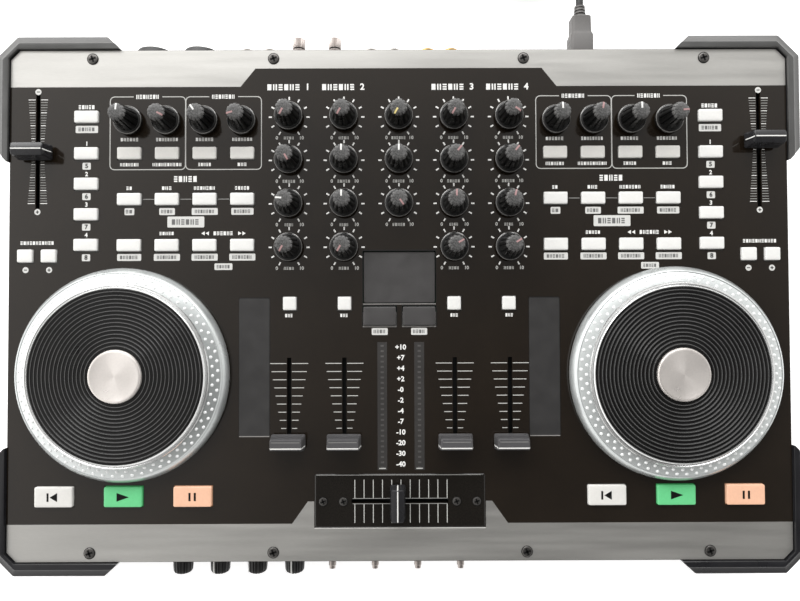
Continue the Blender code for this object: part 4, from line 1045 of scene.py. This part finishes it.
def make_front_controls():
    for number, angle in enumerate(FRONT_KNOB_ANGLES, 1):
        x = -130.2 + 22.3 * (number - 1)
        turn = spin(-angle)
        knob = Shape(facing_front(x, -EDGE_Y, FRONT_Z) @ turn)
        knob.turned([(3.0, -4.2), (3.0, 0.7)], 24, STEEL)
        profile = [(6.1, 0.6), (6.4, 1.0), (6.4, 2.2), (5.9, 2.5), (5.8, 9.0), (5.6, 12.0),
                   (5.1, 13.1), (3.9, 13.8)]
        knob.turned(profile, 60, GRIP, flutes=15, depth=0.35)
        knob.box((-0.45, 0.6, 13.6), (0.45, 4.0, 13.95), WHITE)
        knob.box((-0.45, 5.0, 2.4), (0.45, 5.95, 12.7), WHITE)
        node = f"front_knob_{number}"
        piece(f"{node}_cap", knob, node, [node], (x, -EDGE_Y, FRONT_Z))

    levers = Shape()
    collars = Shape()
    axis_y = -EDGE_Y + 4.0
    xs = [-40.4 + 25.45 * i for i in range(4)]
    along = Matrix.Translation((0, axis_y, FRONT_Z)) @ spin(90, "Y")
    levers.turned([(1.4, xs[0] - 2), (1.4, xs[-1] + 2)], 16, STEEL, along)
    for x in xs:
        tip = Matrix.Translation((x, axis_y, FRONT_Z)) @ spin(90 - 13, "X")
        levers.turned([(1.0, 0.0), (1.1, 5.0), (1.5, 7.5), (2.1, 10.5), (2.2, 13.2), (1.8, 13.6),
                       (1.7, 15.0), (1.5, 15.3)], 20, LEVER, tip)
        at = facing_front(x, -EDGE_Y, FRONT_Z)
        collar = [(4.6, 0.0), (4.6, 0.9), (4.2, 1.3), (3.5, 1.3), (3.2, 1.0), (3.2, 0.0)]
        collars.washer(collar, 24, NICKEL, at)
    piece("front_switch_levers", levers, "front_switches", ["front_switches"])
    piece("front_switch_collars", collars, HOUSING)


# --- faders


def make_fader(node, x, y, made, line_at, across=True):
    """A cap with a gripped, waisted body and a white index line."""
    turn = spin(0 if across else 90)
    cap = Shape(Matrix.Translation((x, y, PANEL)) @ turn)
    cap.box((-0.7, -1.2, -7.0), (0.7, 1.2, 2.3), STEEL)
    levels = [(9.5, 4.2, 2.0), (9.7, 4.4, 2.3), (9.7, 4.4, 4.0), (9.45, 3.9, 5.2)]
    if made is CAP_BLACK:
        levels += [(9.2, 3.8, 7.2), (9.0, 3.65, 10.0), (8.9, 3.5, 11.1), (8.6, 0.5, 12.0)]
    else:
        levels += [(9.2, 3.45, 7.2), (9.0, 3.2, 9.4), (8.9, 3.1, 11.0), (8.7, 2.95, 11.7),
                   (8.4, 2.75, 12.0)]
    cap.loft([rounded(hx, hy, 1.0, z, steps=3) for hx, hy, z in levels], made)
    for side in (-1, 1):
        for step in range(4):
            z = 5.0 + 1.5 * step
            depth = 4.05 - 0.11 * step * 2
            near, far = span(0, side, depth - 0.7, depth - 0.02)
            cap.box((-8.9, near, z), (8.9, far, z + 0.5), made)
    wrap = [(-9.75, 3.0), (-9.75, 4.2), (-9.05, 9.4), (-8.95, 11.1), (-8.4, 12.08)]
    wrap += [(-x, z) for x, z in wrap[::-1]]
    section = ((-0.32, 0), (0.32, 0), (0.32, 0.5), (-0.32, 0.5))
    cap.loft([[(x, line_at + y, z - drop) for y, drop in section] for x, z in wrap], WHITE)
    # On a grey cap, two faint lines along the top away from the index line: painted highlights.
    for way in (-1.5, 1.5):
        if made is CAP_GREY and abs(way - line_at) > 0.8:
            cap.box((-7.8, way - 0.14, 11.85), (7.8, way + 0.14, 12.04), FAINT_PRINT_AND_HIGHLIGHT)
    piece(f"{node}_cap", cap, node, [node], (x, y, PANEL))


def make_faders():
    for side, deck, rest in ((-1, "left", -1.2), (1, "right", 4.6)):
        make_fader(f"pitch_fader_{deck}", side * PITCH_X, PITCH_Y + rest, CAP_BLACK, 0.0)
    for channel, x in enumerate(CHANNEL_X, 1):
        make_fader(f"channel_{channel}_fader", x, -78.55, CAP_GREY, -1.9)
    make_fader("crossfader", -1.3, CROSSFADER_Y, CAP_BLACK, 0.0, across=False)


# --- jog wheels


def make_jog_wheels():
    for side, deck in ((-1, "left"), (1, "right")):
        node = f"jog_wheel_{deck}"
        centre = (side * JOG_X, -40.3, PANEL)
        at = Matrix.Translation(centre)
        rim = Shape(at)
        profile = [(15.0, -7.6), (15.0, 0.8), (59.6, 0.8), (60.4, 1.2), (60.8, 2.4), (60.4, 4.2),
                   (59.2, 6.2), (58.3, 7.3), (57.6, 7.8), (57.1, 7.7), (56.7, 7.9), (51.8, 9.9),
                   (51.4, 10.0), (48.0, 10.0)]
        rim.turned(profile, 144, JOG_RIM)
        lip = [(51.5, 9.8), (51.6, 10.8), (51.2, 11.4), (50.6, 11.6), (50.2, 11.3), (49.9, 11.3),
               (49.6, 12.0), (49.2, 12.3), (48.8, 12.2), (48.6, 9.8)]
        rim.washer(lip, 144, JOG_LIP)
        for radius, height, shift in ((52.9, 9.45, 0.0), (55.6, 8.35, 0.5)):
            for step in range(64):
                angle = 2 * math.pi * (step + shift) / 64
                spot = Matrix.Translation((radius * math.cos(angle), radius * math.sin(angle), height))
                rim.turned([(1.0, -0.3), (0.95, 0.1), (0.65, 0.35), (0.25, 0.45)], 10, JOG_DOT, spot)
        piece(f"{node}_rim", rim, node, [node], centre)

        disc = Shape(at)
        flat = [(14.8, 9.8), (14.8, 11.9), (16.0, 11.9)]
        crests = [17.0 + 2.15 * groove for groove in range(15)]
        for radius in crests:
            flat += [(radius - 0.55, 11.9), (radius - 0.2, 12.2), (radius + 0.2, 12.2),
                     (radius + 0.55, 11.9)]
        flat += [(48.4, 11.9), (48.5, 9.8)]
        disc.washer(flat, 144, JOG_DISC)
        # Lighter strips on the crests of the same black disc: painted highlights along the ridges.
        for radius in crests:
            disc.washer([(radius - 0.17, 12.15), (radius - 0.12, 12.26), (radius + 0.12, 12.26),
                         (radius + 0.17, 12.15)], 144, JOG_CREST_PAINTED_HIGHLIGHT)
        piece(f"{node}_disc", disc, node, origin=centre)

        cap = Shape(at)
        cap.turned([(14.7, 10.0), (14.9, 12.4), (14.8, 13.1), (14.4, 13.6), (13.8, 13.8), (13.2, 13.7),
                    (8.0, 13.55), (1.0, 13.5)], 96, JOG_CAP)
        piece(f"{node}_cap", cap, node, origin=centre)


# --- everything

make_studio()
make_lead()
for node, made in (("faceplate", ENAMEL), ("bottom_chassis", POWDER)):
    for material_slot in frame["nodes"][node].material_slots:
        material_slot.material = made
make_bands()
make_screws()
make_bumpers()
make_electronics()
make_print()
make_panel_details()
make_keypads()
make_transport_keys()
make_knobs()
make_front_controls()
make_faders()
make_jog_wheels()

bpy.context.view_layer.update()
